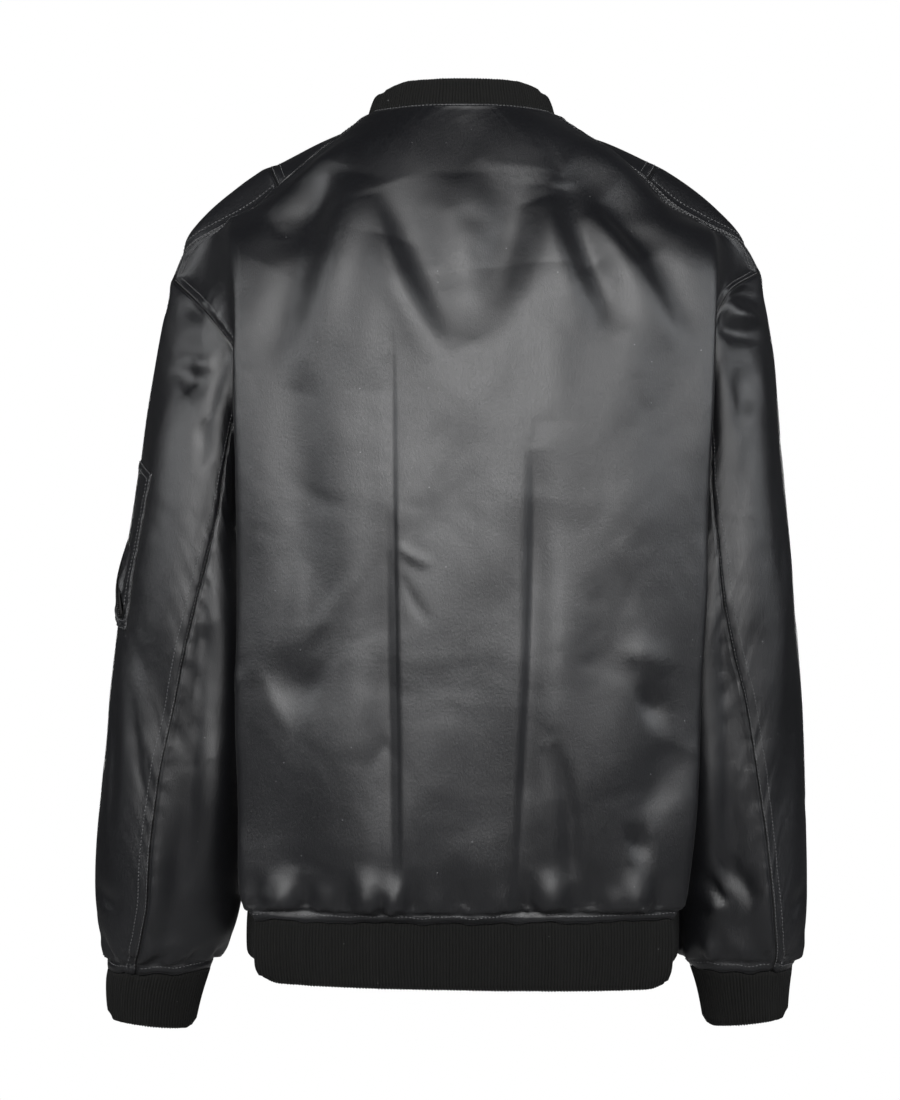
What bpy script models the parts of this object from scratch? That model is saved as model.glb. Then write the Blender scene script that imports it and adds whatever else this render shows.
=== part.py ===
"""Satin bomber jacket with rib-knit collar, cuffs and hem, hollow and in its worn form.

Metres, +Z up. The front faces -Y and the wearer's left is +X. The origin is in the middle of the neck
opening, level with the back of the neck seam, where the wearer's neck and shoulders carry the jacket.

The body is worked out in rows. Each row runs round one half of the body from the centre back, over the
pressed fold at the back corner, to its side end, and from there to the zip. The side ends of the rows run
up the side seam, round the armhole and along the shoulder seam to the neck, so all panels share their seams.
"""
import math

import bpy
import numpy as np

# ---------------------------------------------------------------- sizes (metres)
CLOTH = 0.0016            # satin wall
KNIT = 0.0022             # rib-knit wall between its ribs
RIB_RISE = 0.0010         # raised rib over the wall
SEAM_PULL = 0.00034       # each piece stops this far short of a seam
SEAM_LIFT = 0.0005        # a rib-knit piece starts this far from the cloth's edge
LAID_ON = 0.0004          # a piece lying on a panel floats this far off it
ZIP_GAP = 0.0040          # half the opening between the two fronts
RIBS_HEM = 84
RIBS_COLLAR = 36
RIBS_CUFF = 18
BACK_ROUND = 2.4          # how flat the back is between its folds (power of the plan curve)
FLANK_OUT = 0.20          # how the cloth leaves the fold: share of the way sideways where it goes out,
FLANK_UNDER = 0.50        # where it goes in behind the fold,
FLANK_IN = 0.60           # and share of the way forwards, at the curve's control point
FLANK_TUCK = 0.012        # how far it is tucked in beside the armhole
COLUMNS_BACK = 12         # columns from the centre back to the fold
COLUMNS_FLANK = 4         # columns from the fold to the side end of the row

UNDERARM, TIP, YOKE = 6, 10, 14     # levels where the seams meet
LEVELS_SIDE = (0, 1, 2, 2.5, 3, 3.5, 4, 4.5, 5)
LEVELS_SHOULDER = (10.5, 11, 11.5, 12, 12.5, 13, 13.5, 14, 14.67, 15.33, 16)
ARMHOLE_STEPS = 12        # rows, and so sleeve columns, on each half of an armhole


def table(columns, *rows):
    """A dictionary from each named column to its values, one for each row."""
    values = np.array(rows, float)
    return {name: values[:, k] for k, name in enumerate(columns.split())}


# Back: centre line and pressed fold at each level, from the hem seam (0) to the neck seam (16).
BACK = table(
    "y_back  z_back  fold_left fold_right y_fold  z_fold",
    (0.1100, -0.655, 0.1640, 0.1640, 0.0850, -0.6550),
    (0.1170, -0.645, 0.1750, 0.1760, 0.0880, -0.6450),
    (0.1230, -0.625, 0.1780, 0.1785, 0.0900, -0.6250),
    (0.1290, -0.560, 0.1800, 0.1865, 0.0905, -0.5600),
    (0.1320, -0.480, 0.1815, 0.1910, 0.0910, -0.4800),
    (0.1330, -0.380, 0.1800, 0.1955, 0.0910, -0.3800),
    (0.1330, -0.335, 0.1800, 0.1965, 0.0910, -0.3400),
    (0.1310, -0.265, 0.1805, 0.1975, 0.0900, -0.2700),
    (0.1270, -0.205, 0.1810, 0.1985, 0.0870, -0.2120),
    (0.1210, -0.160, 0.1820, 0.2005, 0.0810, -0.1650),
    (0.1140, -0.127, 0.1840, 0.2015, 0.0700, -0.1300),
    (0.1080, -0.104, 0.1870, 0.2020, 0.0520, -0.1100),
    (0.1020, -0.085, 0.1900, 0.1930, 0.0320, -0.1005),
    (0.0940, -0.065, 0.1655, 0.1660, 0.0340, -0.0870),
    (0.0860, -0.047, 0.1435, 0.1435, 0.0355, -0.0680),
    (0.0770, -0.030, 0.1190, 0.1190, 0.0355, -0.0460),
    (0.0660, -0.0105, 0.0700, 0.0675, 0.0306, -0.0105),
)

# Fronts: zip edge, chest corner and the crest that runs over the top of the shoulder. The y are forwards.
FRONT = table(
    "y_edge  z_edge  x_chest y_chest z_chest x_crest y_crest z_crest",
    (0.1100, -0.655, 0.1620, 0.0830, -0.655, 0.1745, 0.0450, -0.6550),
    (0.1170, -0.645, 0.1690, 0.0880, -0.645, 0.1740, 0.0450, -0.6450),
    (0.1220, -0.625, 0.1720, 0.0890, -0.625, 0.1740, 0.0450, -0.6250),
    (0.1280, -0.560, 0.1730, 0.0880, -0.560, 0.1700, 0.0450, -0.5600),
    (0.1310, -0.480, 0.1720, 0.0880, -0.480, 0.1660, 0.0450, -0.4800),
    (0.1330, -0.380, 0.1700, 0.0880, -0.380, 0.1620, 0.0450, -0.3820),
    (0.1330, -0.340, 0.1690, 0.0880, -0.340, 0.1630, 0.0450, -0.3430),
    (0.1325, -0.295, 0.1690, 0.0880, -0.285, 0.1670, 0.0620, -0.2800),
    (0.1310, -0.262, 0.1700, 0.0870, -0.240, 0.1710, 0.0740, -0.2310),
    (0.1290, -0.235, 0.1710, 0.0850, -0.205, 0.1870, 0.0660, -0.1920),
    (0.1260, -0.210, 0.1720, 0.0800, -0.175, 0.2250, 0.0300, -0.1520),
    (0.1220, -0.187, 0.1720, 0.0730, -0.150, 0.2290, 0.0040, -0.1140),
    (0.1170, -0.165, 0.1700, 0.0660, -0.130, 0.2090, 0.0000, -0.0850),
    (0.1100, -0.143, 0.1600, 0.0600, -0.110, 0.1850, 0.0000, -0.0658),
    (0.1010, -0.122, 0.1400, 0.0560, -0.090, 0.1596, 0.0000, -0.0492),
    (0.0900, -0.100, 0.1120, 0.0520, -0.066, 0.1280, 0.0000, -0.0332),
    (0.0780, -0.080, 0.0580, 0.0530, -0.0428, 0.0764, 0.0200, -0.0151),
)

# Side seam, shoulder seam and armhole, by level. The x are sideways, with a column for each side.
SIDE_SEAM = table(
    "level x_left y_left z_left x_right y_right z_right",
    (0, 0.1760, 0.000, -0.6550, 0.1760, 0.000, -0.6550),
    (1, 0.1770, 0.000, -0.6450, 0.1770, 0.000, -0.6450),
    (2, 0.1755, 0.000, -0.6250, 0.1740, 0.000, -0.6250),
    (3, 0.1690, 0.000, -0.5600, 0.1690, 0.000, -0.5600),
    (4, 0.1630, 0.000, -0.4800, 0.1630, 0.000, -0.4800),
    (5, 0.1570, 0.000, -0.3850, 0.1570, 0.000, -0.3850),
    (6, 0.1660, 0.000, -0.3450, 0.1660, 0.000, -0.3450),
)
ARMHOLE_BACK = table(
    "level x_left y_left z_left x_right y_right z_right",
    (6.0, 0.1660, 0.0000, -0.3450, 0.1660, 0.0000, -0.3450),
    (6.5, 0.1700, 0.0260, -0.3280, 0.1735, 0.0270, -0.3260),
    (7.0, 0.1745, 0.0420, -0.2800, 0.1850, 0.0420, -0.2720),
    (8.0, 0.1800, 0.0590, -0.2140, 0.1960, 0.0610, -0.1960),
    (9.0, 0.2010, 0.0500, -0.1810, 0.2120, 0.0510, -0.1600),
    (10.0, 0.2382, 0.0000, -0.1435, 0.2435, 0.0000, -0.1380),
)
ARMHOLE_FRONT = table(
    "level x_left y_left z_left x_right y_right z_right",
    (6.0, 0.1660, 0.0000, -0.3450, 0.1660, 0.0000, -0.3450),
    (6.5, 0.1700, -0.0260, -0.3280, 0.1700, -0.0260, -0.3280),
    (7.0, 0.1745, -0.0410, -0.2800, 0.1745, -0.0410, -0.2790),
    (8.0, 0.1790, -0.0580, -0.2220, 0.1810, -0.0580, -0.2190),
    (9.0, 0.2010, -0.0480, -0.1820, 0.2040, -0.0480, -0.1780),
    (10.0, 0.2382, 0.0000, -0.1435, 0.2435, 0.0000, -0.1380),
)
SHOULDER_SEAM = table(
    "level x_left y_left z_left x_right y_right z_right",
    (10, 0.2382, 0.000, -0.1435, 0.2435, 0.000, -0.1380),
    (11, 0.2255, 0.012, -0.1210, 0.2280, 0.012, -0.1160),
    (12, 0.1960, 0.024, -0.1040, 0.1960, 0.024, -0.1010),
    (13, 0.1717, 0.028, -0.0912, 0.1717, 0.028, -0.0875),
    (14, 0.1490, 0.028, -0.0727, 0.1490, 0.028, -0.0665),
    (15, 0.1242, 0.025, -0.0480, 0.1242, 0.025, -0.0470),
    (16, 0.0790, 0.008, -0.0105, 0.0762, 0.008, -0.0105),
)
CREST_RIGHT = table(      # the right crest against the left: how much further out and how much higher
    "level outwards upwards",
    (0, 0.0, 0.0), (9, 0.0, 0.0), (10, 0.0055, 0.0050), (11, 0.0010, 0.0015), (12, 0.0, 0.0010),
    (13, 0.0, 0.0012), (14, 0.0, 0.0005), (15, 0.0, 0.0003), (16, -0.0030, 0.0),
)

# Folds of the back, each from one end over a middle point to the other: (x, z) of the three, the breadth
# of the fold and its height (below nought for a trough).
BACK_FOLDS = table(
    "x1     z1     x2     z2     x3     z3     breadth rise",
    (0.088, -0.057, 0.128, -0.147, 0.143, -0.222, 0.019, -0.0065),
    (0.056, -0.118, 0.034, -0.165, 0.012, -0.220, 0.018, -0.0055),
    (0.066, -0.115, 0.076, -0.170, 0.090, -0.250, 0.018, 0.0045),
    (-0.050, -0.105, -0.030, -0.160, -0.028, -0.215, 0.017, -0.0050),
    (-0.068, -0.120, -0.064, -0.170, -0.060, -0.240, 0.018, 0.0045),
    (-0.072, -0.095, -0.096, -0.140, -0.112, -0.200, 0.016, -0.0045),
    (-0.082, -0.064, -0.138, -0.132, -0.155, -0.215, 0.018, -0.0055),
    (0.060, -0.400, 0.064, -0.510, 0.062, -0.640, 0.017, -0.0030),
    (-0.053, -0.270, -0.052, -0.440, -0.041, -0.640, 0.016, -0.0040),
    (-0.066, -0.480, -0.082, -0.560, -0.087, -0.650, 0.016, -0.0030),
    (0.130, -0.440, 0.132, -0.540, 0.131, -0.650, 0.018, -0.0030),
    (-0.130, -0.430, -0.128, -0.540, -0.125, -0.650, 0.018, -0.0025),
)

# Sleeves, ring by ring: outer and inner point (x outwards), middle and half depth, and the angle of the
# back seam and of the front seam, round from the outer side over the back.
SLEEVE_COLUMNS = "z_out x_out z_in x_in y_mid half_y back front"
SLEEVE_LEFT = table(
    SLEEVE_COLUMNS,
    (-0.1435, 0.2382, -0.3450, 0.1660, 0.000, 0.062, 120, 240),
    (-0.1735, 0.2475, -0.3475, 0.1750, -0.003, 0.066, 120, 240),
    (-0.2147, 0.2551, -0.3600, 0.1755, -0.005, 0.069, 119, 240),
    (-0.2624, 0.2633, -0.3780, 0.1735, -0.007, 0.0705, 117, 241),
    (-0.3198, 0.2701, -0.4052, 0.1720, -0.009, 0.071, 109, 242),
    (-0.3750, 0.2763, -0.4353, 0.1715, -0.011, 0.070, 101, 243),
    (-0.4284, 0.2824, -0.4706, 0.1720, -0.013, 0.069, 94, 244),
    (-0.4738, 0.2884, -0.5059, 0.1735, -0.015, 0.068, 90, 245),
    (-0.5484, 0.2967, -0.5616, 0.1760, -0.018, 0.066, 82, 246),
    (-0.6106, 0.3027, -0.6152, 0.1805, -0.020, 0.064, 80, 248),
    (-0.6477, 0.3046, -0.6477, 0.1830, -0.021, 0.060, 80, 250),
    (-0.6751, 0.3028, -0.6751, 0.1880, -0.022, 0.054, 76, 250),
    (-0.6912, 0.3006, -0.6932, 0.1948, -0.022, 0.048, 73, 250),
    (-0.7013, 0.2973, -0.7023, 0.2029, -0.022, 0.039, 70, 250),
    (-0.7099, 0.2931, -0.7099, 0.2100, -0.022, 0.0335, 68, 250),
)
SLEEVE_RIGHT = table(
    SLEEVE_COLUMNS,
    (-0.1380, 0.2435, -0.3450, 0.1660, 0.000, 0.062, 120, 240),
    (-0.1637, 0.2492, -0.3475, 0.1750, -0.003, 0.066, 120, 240),
    (-0.2046, 0.2554, -0.3600, 0.1755, -0.005, 0.069, 119, 240),
    (-0.2472, 0.2596, -0.3780, 0.1735, -0.007, 0.0705, 116, 241),
    (-0.3089, 0.2651, -0.4052, 0.1720, -0.009, 0.071, 110, 242),
    (-0.3723, 0.2712, -0.4353, 0.1715, -0.011, 0.070, 105, 243),
    (-0.4264, 0.2757, -0.4706, 0.1720, -0.013, 0.068, 98, 244),
    (-0.4707, 0.2780, -0.5059, 0.1735, -0.015, 0.067, 90, 245),
    (-0.5401, 0.2799, -0.5616, 0.1760, -0.018, 0.065, 81, 246),
    (-0.6021, 0.2819, -0.6152, 0.1798, -0.020, 0.062, 74, 248),
    (-0.6477, 0.2826, -0.6477, 0.1805, -0.021, 0.059, 69, 250),
    (-0.6751, 0.2821, -0.6751, 0.1800, -0.022, 0.054, 65, 250),
    (-0.6892, 0.2801, -0.6912, 0.1819, -0.022, 0.048, 62, 250),
    (-0.7003, 0.2768, -0.7003, 0.1844, -0.022, 0.040, 59, 250),
    (-0.7084, 0.2718, -0.7084, 0.1890, -0.022, 0.0335, 57, 250),
)
SLEEVE_LEVELS = (0, 0.5, 1, 2, 3, 3.5, 4, 5, 5.6, 6, 7, 7.5, 8, 8.5, 9, 10, 11, 12, 13, 14)
BACK_SEAM, FRONT_SEAM = 8, 16       # sleeve columns that the seams run down
POCKET_EDGE, POCKET_ANGLE = 3, 34   # column and angle of the line that the pocket's back edge follows
LOOP_FADE = (0, 1, 2, 3, 5)         # sleeve levels over which the armhole's own shape dies away ...
LOOP_SHARE = (1.0, 0.90, 0.65, 0.35, 0.0)       # ... and how much of it is left at each

# Folds of the sleeves: side (1 left, -1 right), angle and height of both ends, breadth and rise.
SLEEVE_FOLDS = table(
    "side  a1   z1      a2   z2     breadth rise",
    (1, 62, -0.200, 84, -0.262, 0.014, -0.0040),
    (1, 70, -0.258, 95, -0.300, 0.013, -0.0035),
    (1, 20, -0.215, 45, -0.240, 0.011, -0.0030),
    (1, 30, -0.480, 42, -0.600, 0.010, -0.0025),
    (1, 75, -0.620, 128, -0.665, 0.012, 0.0035),
    (1, 20, -0.640, 60, -0.655, 0.010, -0.0025),
    (-1, 22, -0.170, 70, -0.172, 0.009, 0.0040),
    (-1, 25, -0.185, 75, -0.192, 0.009, -0.0045),
    (-1, 40, -0.235, 80, -0.270, 0.014, -0.0030),
    (-1, 128, -0.600, 76, -0.652, 0.010, -0.0035),
    (-1, 120, -0.635, 80, -0.670, 0.010, 0.0035),
    (-1, 15, -0.640, 50, -0.660, 0.010, -0.0025),
    (1, 300, -0.250, 330, -0.210, 0.013, -0.0035),
    (-1, 300, -0.255, 335, -0.205, 0.013, -0.0035),
    (1, 285, -0.640, 330, -0.655, 0.011, -0.0030),
    (-1, 290, -0.635, 335, -0.655, 0.011, -0.0030),
)

# Rib-knit: rows under the seam. Each row is the seam line, scaled about its middle and set to a height.
HEM_ROWS = table("scale z", (1.000, -0.6555), (1.004, -0.684), (0.990, -0.708))
HEM_TILT = 0.016          # the hem hangs lower on the wearer's right: slope of its edge
COLLAR_ROWS = table("scale lift", (1.0, 0.0006), (0.935, 0.0120), (0.885, 0.0212))
CUFF_COLUMNS = "z_out x_out z_in x_in y_mid half_y"
CUFF_LEFT = table(
    CUFF_COLUMNS,
    (-0.7316, 0.2950, -0.7351, 0.2165, -0.022, 0.0330),
    (-0.7513, 0.2933, -0.7589, 0.2216, -0.022, 0.0320),
)
CUFF_RIGHT = table(
    CUFF_COLUMNS,
    (-0.7286, 0.2698, -0.7316, 0.1950, -0.022, 0.0330),
    (-0.7498, 0.2683, -0.7569, 0.1996, -0.022, 0.0320),
)

POCKET_LEVELS = (3.5, 6)            # sleeve levels of the pocket's top and bottom
POCKET_FRONT = -4                   # sleeve column of the pocket's front edge, counted from the outer side
POCKET_WALL = 0.0016
POCKET_SWELL = (0, 0, 0.0006, 0.0036, 0.0008)   # how far each row of the pocket swells, from its top
POCKET_ZIP = (0.16, -2.7, 0.94, 2.4)  # share of the rows and column at both ends of the pocket's zip

TAPE_HALF, TAPE_WALL, TAPE_DEPTH = 0.013, 0.0009, 0.0034
CHAIN_HALF, CHAIN_OUT = 0.0034, 0.0006
POCKET_CHAIN_HALF, POCKET_CHAIN_LIFT, POCKET_CHAIN_RISE = 0.0030, 0.0006, 0.0012
POCKET_SLIDER_SHARE, POCKET_SLIDER_LIFT = 0.16, 0.0006     # place along the pocket's zip, height over it
FRONT_SLIDER_DOWN = 0.002           # the closed front's slider sits this far below the collar's edge

SLIDER_HALF_X, SLIDER_HALF_S, SLIDER_THICK = 0.0048, 0.0060, 0.0014
SLIDER_LIFT = 0.0014                # underside of the slider over the cloth's outer face
BAIL_HALF_X, BAIL_HALF_S, BAIL_BAR, BAIL_HIGH = 0.0007, 0.0026, 0.0006, 0.0027
PULL_AXIS = 0.0011                  # hinge axis over the slider's face
PULL_HALF_X, PULL_RAIL, PULL_THICK = 0.0027, 0.0014, 0.0009
PULL_WINDOW, PULL_LENGTH = 0.0054, 0.026
POCKET_SCALE = 0.8                  # the pocket's slider and pull against the front's

MATERIALS = {
    "satin": ((0.020, 0.020, 0.022), 0.38, 0.0),
    "rib_knit": ((0.012, 0.012, 0.011), 0.85, 0.0),
    "zip_metal": ((0.060, 0.060, 0.062), 0.40, 1.0),
    "zip_tape": ((0.013, 0.013, 0.013), 0.80, 0.0),
}


# ---------------------------------------------------------------- curves and surfaces
def through(knots, values, at):
    """A smooth curve through the knots that never swings past them: cubic Hermite pieces whose slope at a
    knot is the harmonic mean of the slopes beside it, or nought where these differ in sign."""
    k, v, at = np.asarray(knots, float), np.asarray(values, float), np.asarray(at, float)
    h = np.diff(k)
    d = np.diff(v) / h
    m = np.zeros_like(v)
    m[0], m[-1] = d[0], d[-1]
    product, total = d[1:] * d[:-1], d[1:] + d[:-1]
    m[1:-1] = np.where(product > 0, 2 * product / np.where(total == 0, 1, total), 0)
    i = np.clip(np.searchsorted(k, at, side="right") - 1, 0, len(h) - 1)
    t = (at - k[i]) / h[i]
    start = (1 + 2 * t) * (1 - t) ** 2 * v[i] + t * (1 - t) ** 2 * h[i] * m[i]
    return start + t * t * (3 - 2 * t) * v[i + 1] + t * t * (t - 1) * h[i] * m[i + 1]


def column(rows, name, at):
    """A table's column, read smoothly at the levels asked for."""
    values = rows[name]
    return through(np.arange(len(values)), values, at)


def smooth_step(x):
    """0 below nought, 1 above one, x*x*(3-2x) between."""
    x = np.clip(x, 0, 1)
    return x * x * (3 - 2 * x)


def body_levels():
    armhole = np.linspace(UNDERARM, TIP, ARMHOLE_STEPS + 1)
    return np.concatenate([LEVELS_SIDE, armhole, LEVELS_SHOULDER])


LEVELS = body_levels()
ROW_UNDERARM = len(LEVELS_SIDE)
ROW_TIP = ROW_UNDERARM + ARMHOLE_STEPS
ROW_YOKE = int(np.argmin(np.abs(LEVELS - YOKE)))


def seam_line(rows, side, levels):
    """Points of a seam at the levels asked for, on the wearer's left (side 1) or right (side -1)."""
    name = "left" if side > 0 else "right"
    x, y, z = (through(rows["level"], rows[f"{axis}_{name}"], levels) for axis in "xyz")
    return np.stack([side * x, y, z], -1)


def side_ends(side, armhole):
    """Points at the side ends of all rows: side seam, one half of the armhole, shoulder seam."""
    return np.concatenate([
        seam_line(SIDE_SEAM, side, LEVELS[:ROW_UNDERARM]),
        seam_line(armhole, side, LEVELS[ROW_UNDERARM:ROW_TIP]),
        seam_line(SHOULDER_SEAM, side, LEVELS[ROW_TIP:])])


def fold_field(x, z, folds):
    """Sum over the folds of rise * exp(-(distance to the fold's line / breadth)^2), fading at the ends."""
    total = np.zeros_like(x)
    for x1, z1, x2, z2, x3, z3, breadth, rise in zip(*folds.values()):
        t = np.linspace(0, 1, 25)
        line_x = (1 - t) * (1 - 2 * t) * x1 + 4 * t * (1 - t) * x2 + t * (2 * t - 1) * x3
        line_z = (1 - t) * (1 - 2 * t) * z1 + 4 * t * (1 - t) * z2 + t * (2 * t - 1) * z3
        gap = np.hypot(x[..., None] - line_x, z[..., None] - line_z)
        nearest = gap.argmin(-1)
        fade = np.sin(np.pi * np.clip(t[nearest], 0.03, 0.97)) ** 0.6
        total += rise * fade * np.exp(-(gap.min(-1) / breadth) ** 2)
    return total


def back_half(side):
    """Rows of half the back: a flat curve from the centre to the fold, a hanging curve on to the side."""
    ends = side_ends(side, ARMHOLE_BACK)
    fold = np.stack([side * column(BACK, "fold_left" if side > 0 else "fold_right", LEVELS),
                     column(BACK, "y_fold", LEVELS), column(BACK, "z_fold", LEVELS)], -1)
    y_back, z_back = column(BACK, "y_back", LEVELS), column(BACK, "z_back", LEVELS)
    s = np.linspace(0, 1, COLUMNS_BACK + 1)[None, :]
    x = fold[:, :1] * s
    y = y_back[:, None] - (y_back[:, None] - fold[:, 1:2]) * s ** BACK_ROUND
    z = z_back[:, None] + (fold[:, 2:3] - z_back[:, None]) * s ** 2
    middle = np.stack([x, y, z], -1)
    t = np.linspace(0, 1, COLUMNS_FLANK + 1)[1:][None, :, None]
    outwards = side * (ends - fold)[:, 0]
    sideways = FLANK_UNDER + (FLANK_OUT - FLANK_UNDER) * smooth_step(outwards / 0.01)
    share = np.stack([sideways, np.full(len(ends), FLANK_IN), np.full(len(ends), 0.5)], -1)
    control = fold + (ends - fold) * share
    tucked = smooth_step((LEVELS - UNDERARM + 1.5) / 2) * smooth_step((TIP - LEVELS) / 2)
    control[:, 0] -= side * FLANK_TUCK * tucked
    flank = (1 - t) ** 2 * fold[:, None] + 2 * t * (1 - t) * control[:, None] + t * t * ends[:, None]
    return np.concatenate([middle, flank], 1)


def back_grid():
    """The back from its left side to its right, with its folds raised along the wall's normals."""
    left, right = back_half(1), back_half(-1)
    grid = np.concatenate([left[:, ::-1], right[:, 1:]], 1)
    rise = fold_field(grid[..., 0], grid[..., 2], BACK_FOLDS)
    across = np.abs(np.linspace(-1, 1, grid.shape[1]))[None, :]
    keep = smooth_step((1 - across) / 0.3)
    upward = smooth_step(np.arange(grid.shape[0]) / 3)[:, None]
    downward = smooth_step((grid.shape[0] - 1 - np.arange(grid.shape[0])) / 4)[:, None]
    return grid + normals_of([grid])[0] * (rise * keep * upward * downward)[..., None]


def front_grid(side):
    """Rows of one front from the side end, over the crest and the chest's corner, to the zip edge."""
    ends = side_ends(side, ARMHOLE_FRONT)
    more = np.zeros((len(LEVELS), 2))
    if side < 0:
        more = np.stack([through(CREST_RIGHT["level"], CREST_RIGHT[k], LEVELS)
                         for k in ("outwards", "upwards")], -1)
    crest = np.stack([side * (column(FRONT, "x_crest", LEVELS) + more[:, 0]),
                      -column(FRONT, "y_crest", LEVELS), column(FRONT, "z_crest", LEVELS) + more[:, 1]], -1)
    chest = np.stack([side * column(FRONT, "x_chest", LEVELS), -column(FRONT, "y_chest", LEVELS),
                      column(FRONT, "z_chest", LEVELS)], -1)
    edge = np.stack([np.full(len(LEVELS), side * ZIP_GAP), -column(FRONT, "y_edge", LEVELS),
                     column(FRONT, "z_edge", LEVELS)], -1)
    middle = edge + (chest - edge) * np.array([0.5, 0.5 ** BACK_ROUND, 0.25])
    knots, at = np.array([0, 2, 5, 8, 11]), np.arange(12)
    points = np.stack([ends, crest, chest, middle, edge], 1)
    rows = [[through(knots, row[:, k], at) for k in range(3)] for row in points]
    return np.moveaxis(np.array(rows), 1, -1)


def armhole_loop(back, front, side):
    """The armhole seam's points in sleeve columns: tip, down the back, underarm, up the front, tip."""
    span = slice(ROW_UNDERARM, ROW_TIP + 1)
    back_edge = back[span, 0 if side > 0 else -1][::-1]
    front_edge = front[span, 0]
    return np.concatenate([back_edge, front_edge[1:]])


def ellipse(rows, level, angle, side):
    """One ring: outer and inner point in the X-Z plane, half_y front and back, slightly squared."""
    value = {name: column(rows, name, level) for name in rows}
    c, s = np.cos(angle), np.sin(angle)
    x_mid, x_half = (value["x_out"] + value["x_in"]) / 2, (value["x_out"] - value["x_in"]) / 2
    z_mid, z_half = (value["z_out"] + value["z_in"]) / 2, (value["z_out"] - value["z_in"]) / 2
    y = value["y_mid"] + value["half_y"] * s
    return np.stack([side * (x_mid + x_half * c), y, z_mid + z_half * c], -1)


def sleeve_angles(rows, level):
    """Angles of the sleeve's columns at a level, spread evenly between the seams and the pocket's edge."""
    lines = [0, POCKET_ANGLE, column(rows, "back", level), column(rows, "front", level), 360]
    at = [0, POCKET_EDGE, BACK_SEAM, FRONT_SEAM, 2 * ARMHOLE_STEPS]
    return np.radians(np.interp(np.arange(2 * ARMHOLE_STEPS + 1), at, lines))


def sleeve_grid(rows, loop, side):
    """Rings from the armhole to the cuff seam; the armhole's own shape dies away down the sleeve."""
    base = ellipse(rows, 0, sleeve_angles(rows, 0), side)
    rings = []
    for level in SLEEVE_LEVELS:
        left = through(LOOP_FADE, LOOP_SHARE, level) if level < LOOP_FADE[-1] else 0.0
        rings.append(ellipse(rows, level, sleeve_angles(rows, level), side) + left * (loop - base))
    grid = np.array(rings)
    middle = grid[:, :-1].mean(1, keepdims=True)
    spoke = grid - middle
    around = np.degrees(np.arctan2(spoke[..., 1], side * spoke[..., 0])) % 360
    radius = np.linalg.norm(spoke[..., :2], axis=-1)
    rise = np.zeros(grid.shape[:2])
    for which, a1, z1, a2, z2, breadth, height in zip(*SLEEVE_FOLDS.values()):
        if which == side:
            for t in np.linspace(0, 1, 13):
                turn = np.radians((around - a1 - t * (a2 - a1) + 180) % 360 - 180) * radius
                down = grid[..., 2] - z1 - t * (z2 - z1)
                near = np.exp(-(turn ** 2 + down ** 2) / breadth ** 2)
                here = height * math.sin(math.pi * (0.1 + 0.8 * t)) * near
                rise = np.where(np.abs(here) > np.abs(rise), here, rise)
    steps = np.arange(len(grid))
    keep = smooth_step((steps - 0.5) / 2) * smooth_step((len(grid) - 1.5 - steps) / 2)
    outward = spoke / np.linalg.norm(spoke, axis=-1, keepdims=True)
    return grid + outward * (rise * keep[:, None])[..., None]


# ---------------------------------------------------------------- walls
def normals_of(grids):
    """Outward normals at all points of the grids. Points that grids share get one normal between them."""
    points = np.concatenate([g.reshape(-1, 3) for g in grids])
    _, same = np.unique(np.round(points, 7), axis=0, return_inverse=True)
    same = same.ravel()
    total = np.zeros((same.max() + 1, 3))
    first = 0
    for g in grids:
        rows, columns = g.shape[:2]
        index = same[first:first + rows * columns].reshape(rows, columns)
        face = np.cross(g[1:, 1:] - g[:-1, :-1], g[1:, :-1] - g[:-1, 1:])
        for part in (index[:-1, :-1], index[:-1, 1:], index[1:, :-1], index[1:, 1:]):
            np.add.at(total, part.ravel(), face.reshape(-1, 3))
        first += rows * columns
    total /= np.maximum(np.linalg.norm(total, axis=1, keepdims=True), 1e-12)
    found, first = [], 0
    for g in grids:
        count = g.shape[0] * g.shape[1]
        found.append(total[same[first:first + count]].reshape(g.shape))
        first += count
    return found


def shifts_inward(grid, normal):
    """How far the points of a panel's four edges move, within the cloth and square to the edge, so that
    the panel stops SEAM_PULL short of each seam."""
    def square_to(line, facing, next_line):
        across = np.cross(facing, np.gradient(line, axis=0))
        across /= np.linalg.norm(across, axis=-1, keepdims=True)
        return across * np.sign((across * (next_line - line)).sum()) * SEAM_PULL
    shift = np.zeros_like(grid)
    for edge, next_one in ((0, 1), (-1, -2)):
        shift[edge] += square_to(grid[edge], normal[edge], grid[next_one])
        shift[:, edge] += square_to(grid[:, edge], normal[:, edge], grid[:, next_one])
    return shift


def closed_mesh(name, points, faces):
    """A mesh whose faces look out: they are turned round if the volume they enclose comes out negative."""
    volume = 0.0
    for face in faces:
        corners = points[list(face)]
        for k in range(1, len(face) - 1):
            volume += np.dot(corners[0], np.cross(corners[k], corners[k + 1]))
    if volume < 0:
        faces = [list(face)[::-1] for face in faces]
    mesh = bpy.data.meshes.new(name)
    mesh.from_pydata(points.tolist(), [], faces)
    mesh.update()
    return mesh


def between(grid, axis):
    """Points halfway between neighbours along an axis, by the cubic through the nearest four."""
    g = np.moveaxis(grid, axis, 0)
    g = np.concatenate([2 * g[:1] - g[1:2], g, 2 * g[-1:] - g[-2:-1]])
    return np.moveaxis((9 * (g[1:-2] + g[2:-1]) - g[:-3] - g[3:]) / 16, 0, axis)


def bends_well(grid):
    """For each cell, whether the diagonal from its first corner lies nearer the smooth surface's middle
    than the other diagonal does, so that the cell's two triangles follow the folds."""
    middle = between(between(grid, 0), 1)
    first = np.linalg.norm((grid[:-1, :-1] + grid[1:, 1:]) / 2 - middle, axis=-1)
    second = np.linalg.norm((grid[:-1, 1:] + grid[1:, :-1]) / 2 - middle, axis=-1)
    return first <= second


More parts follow.
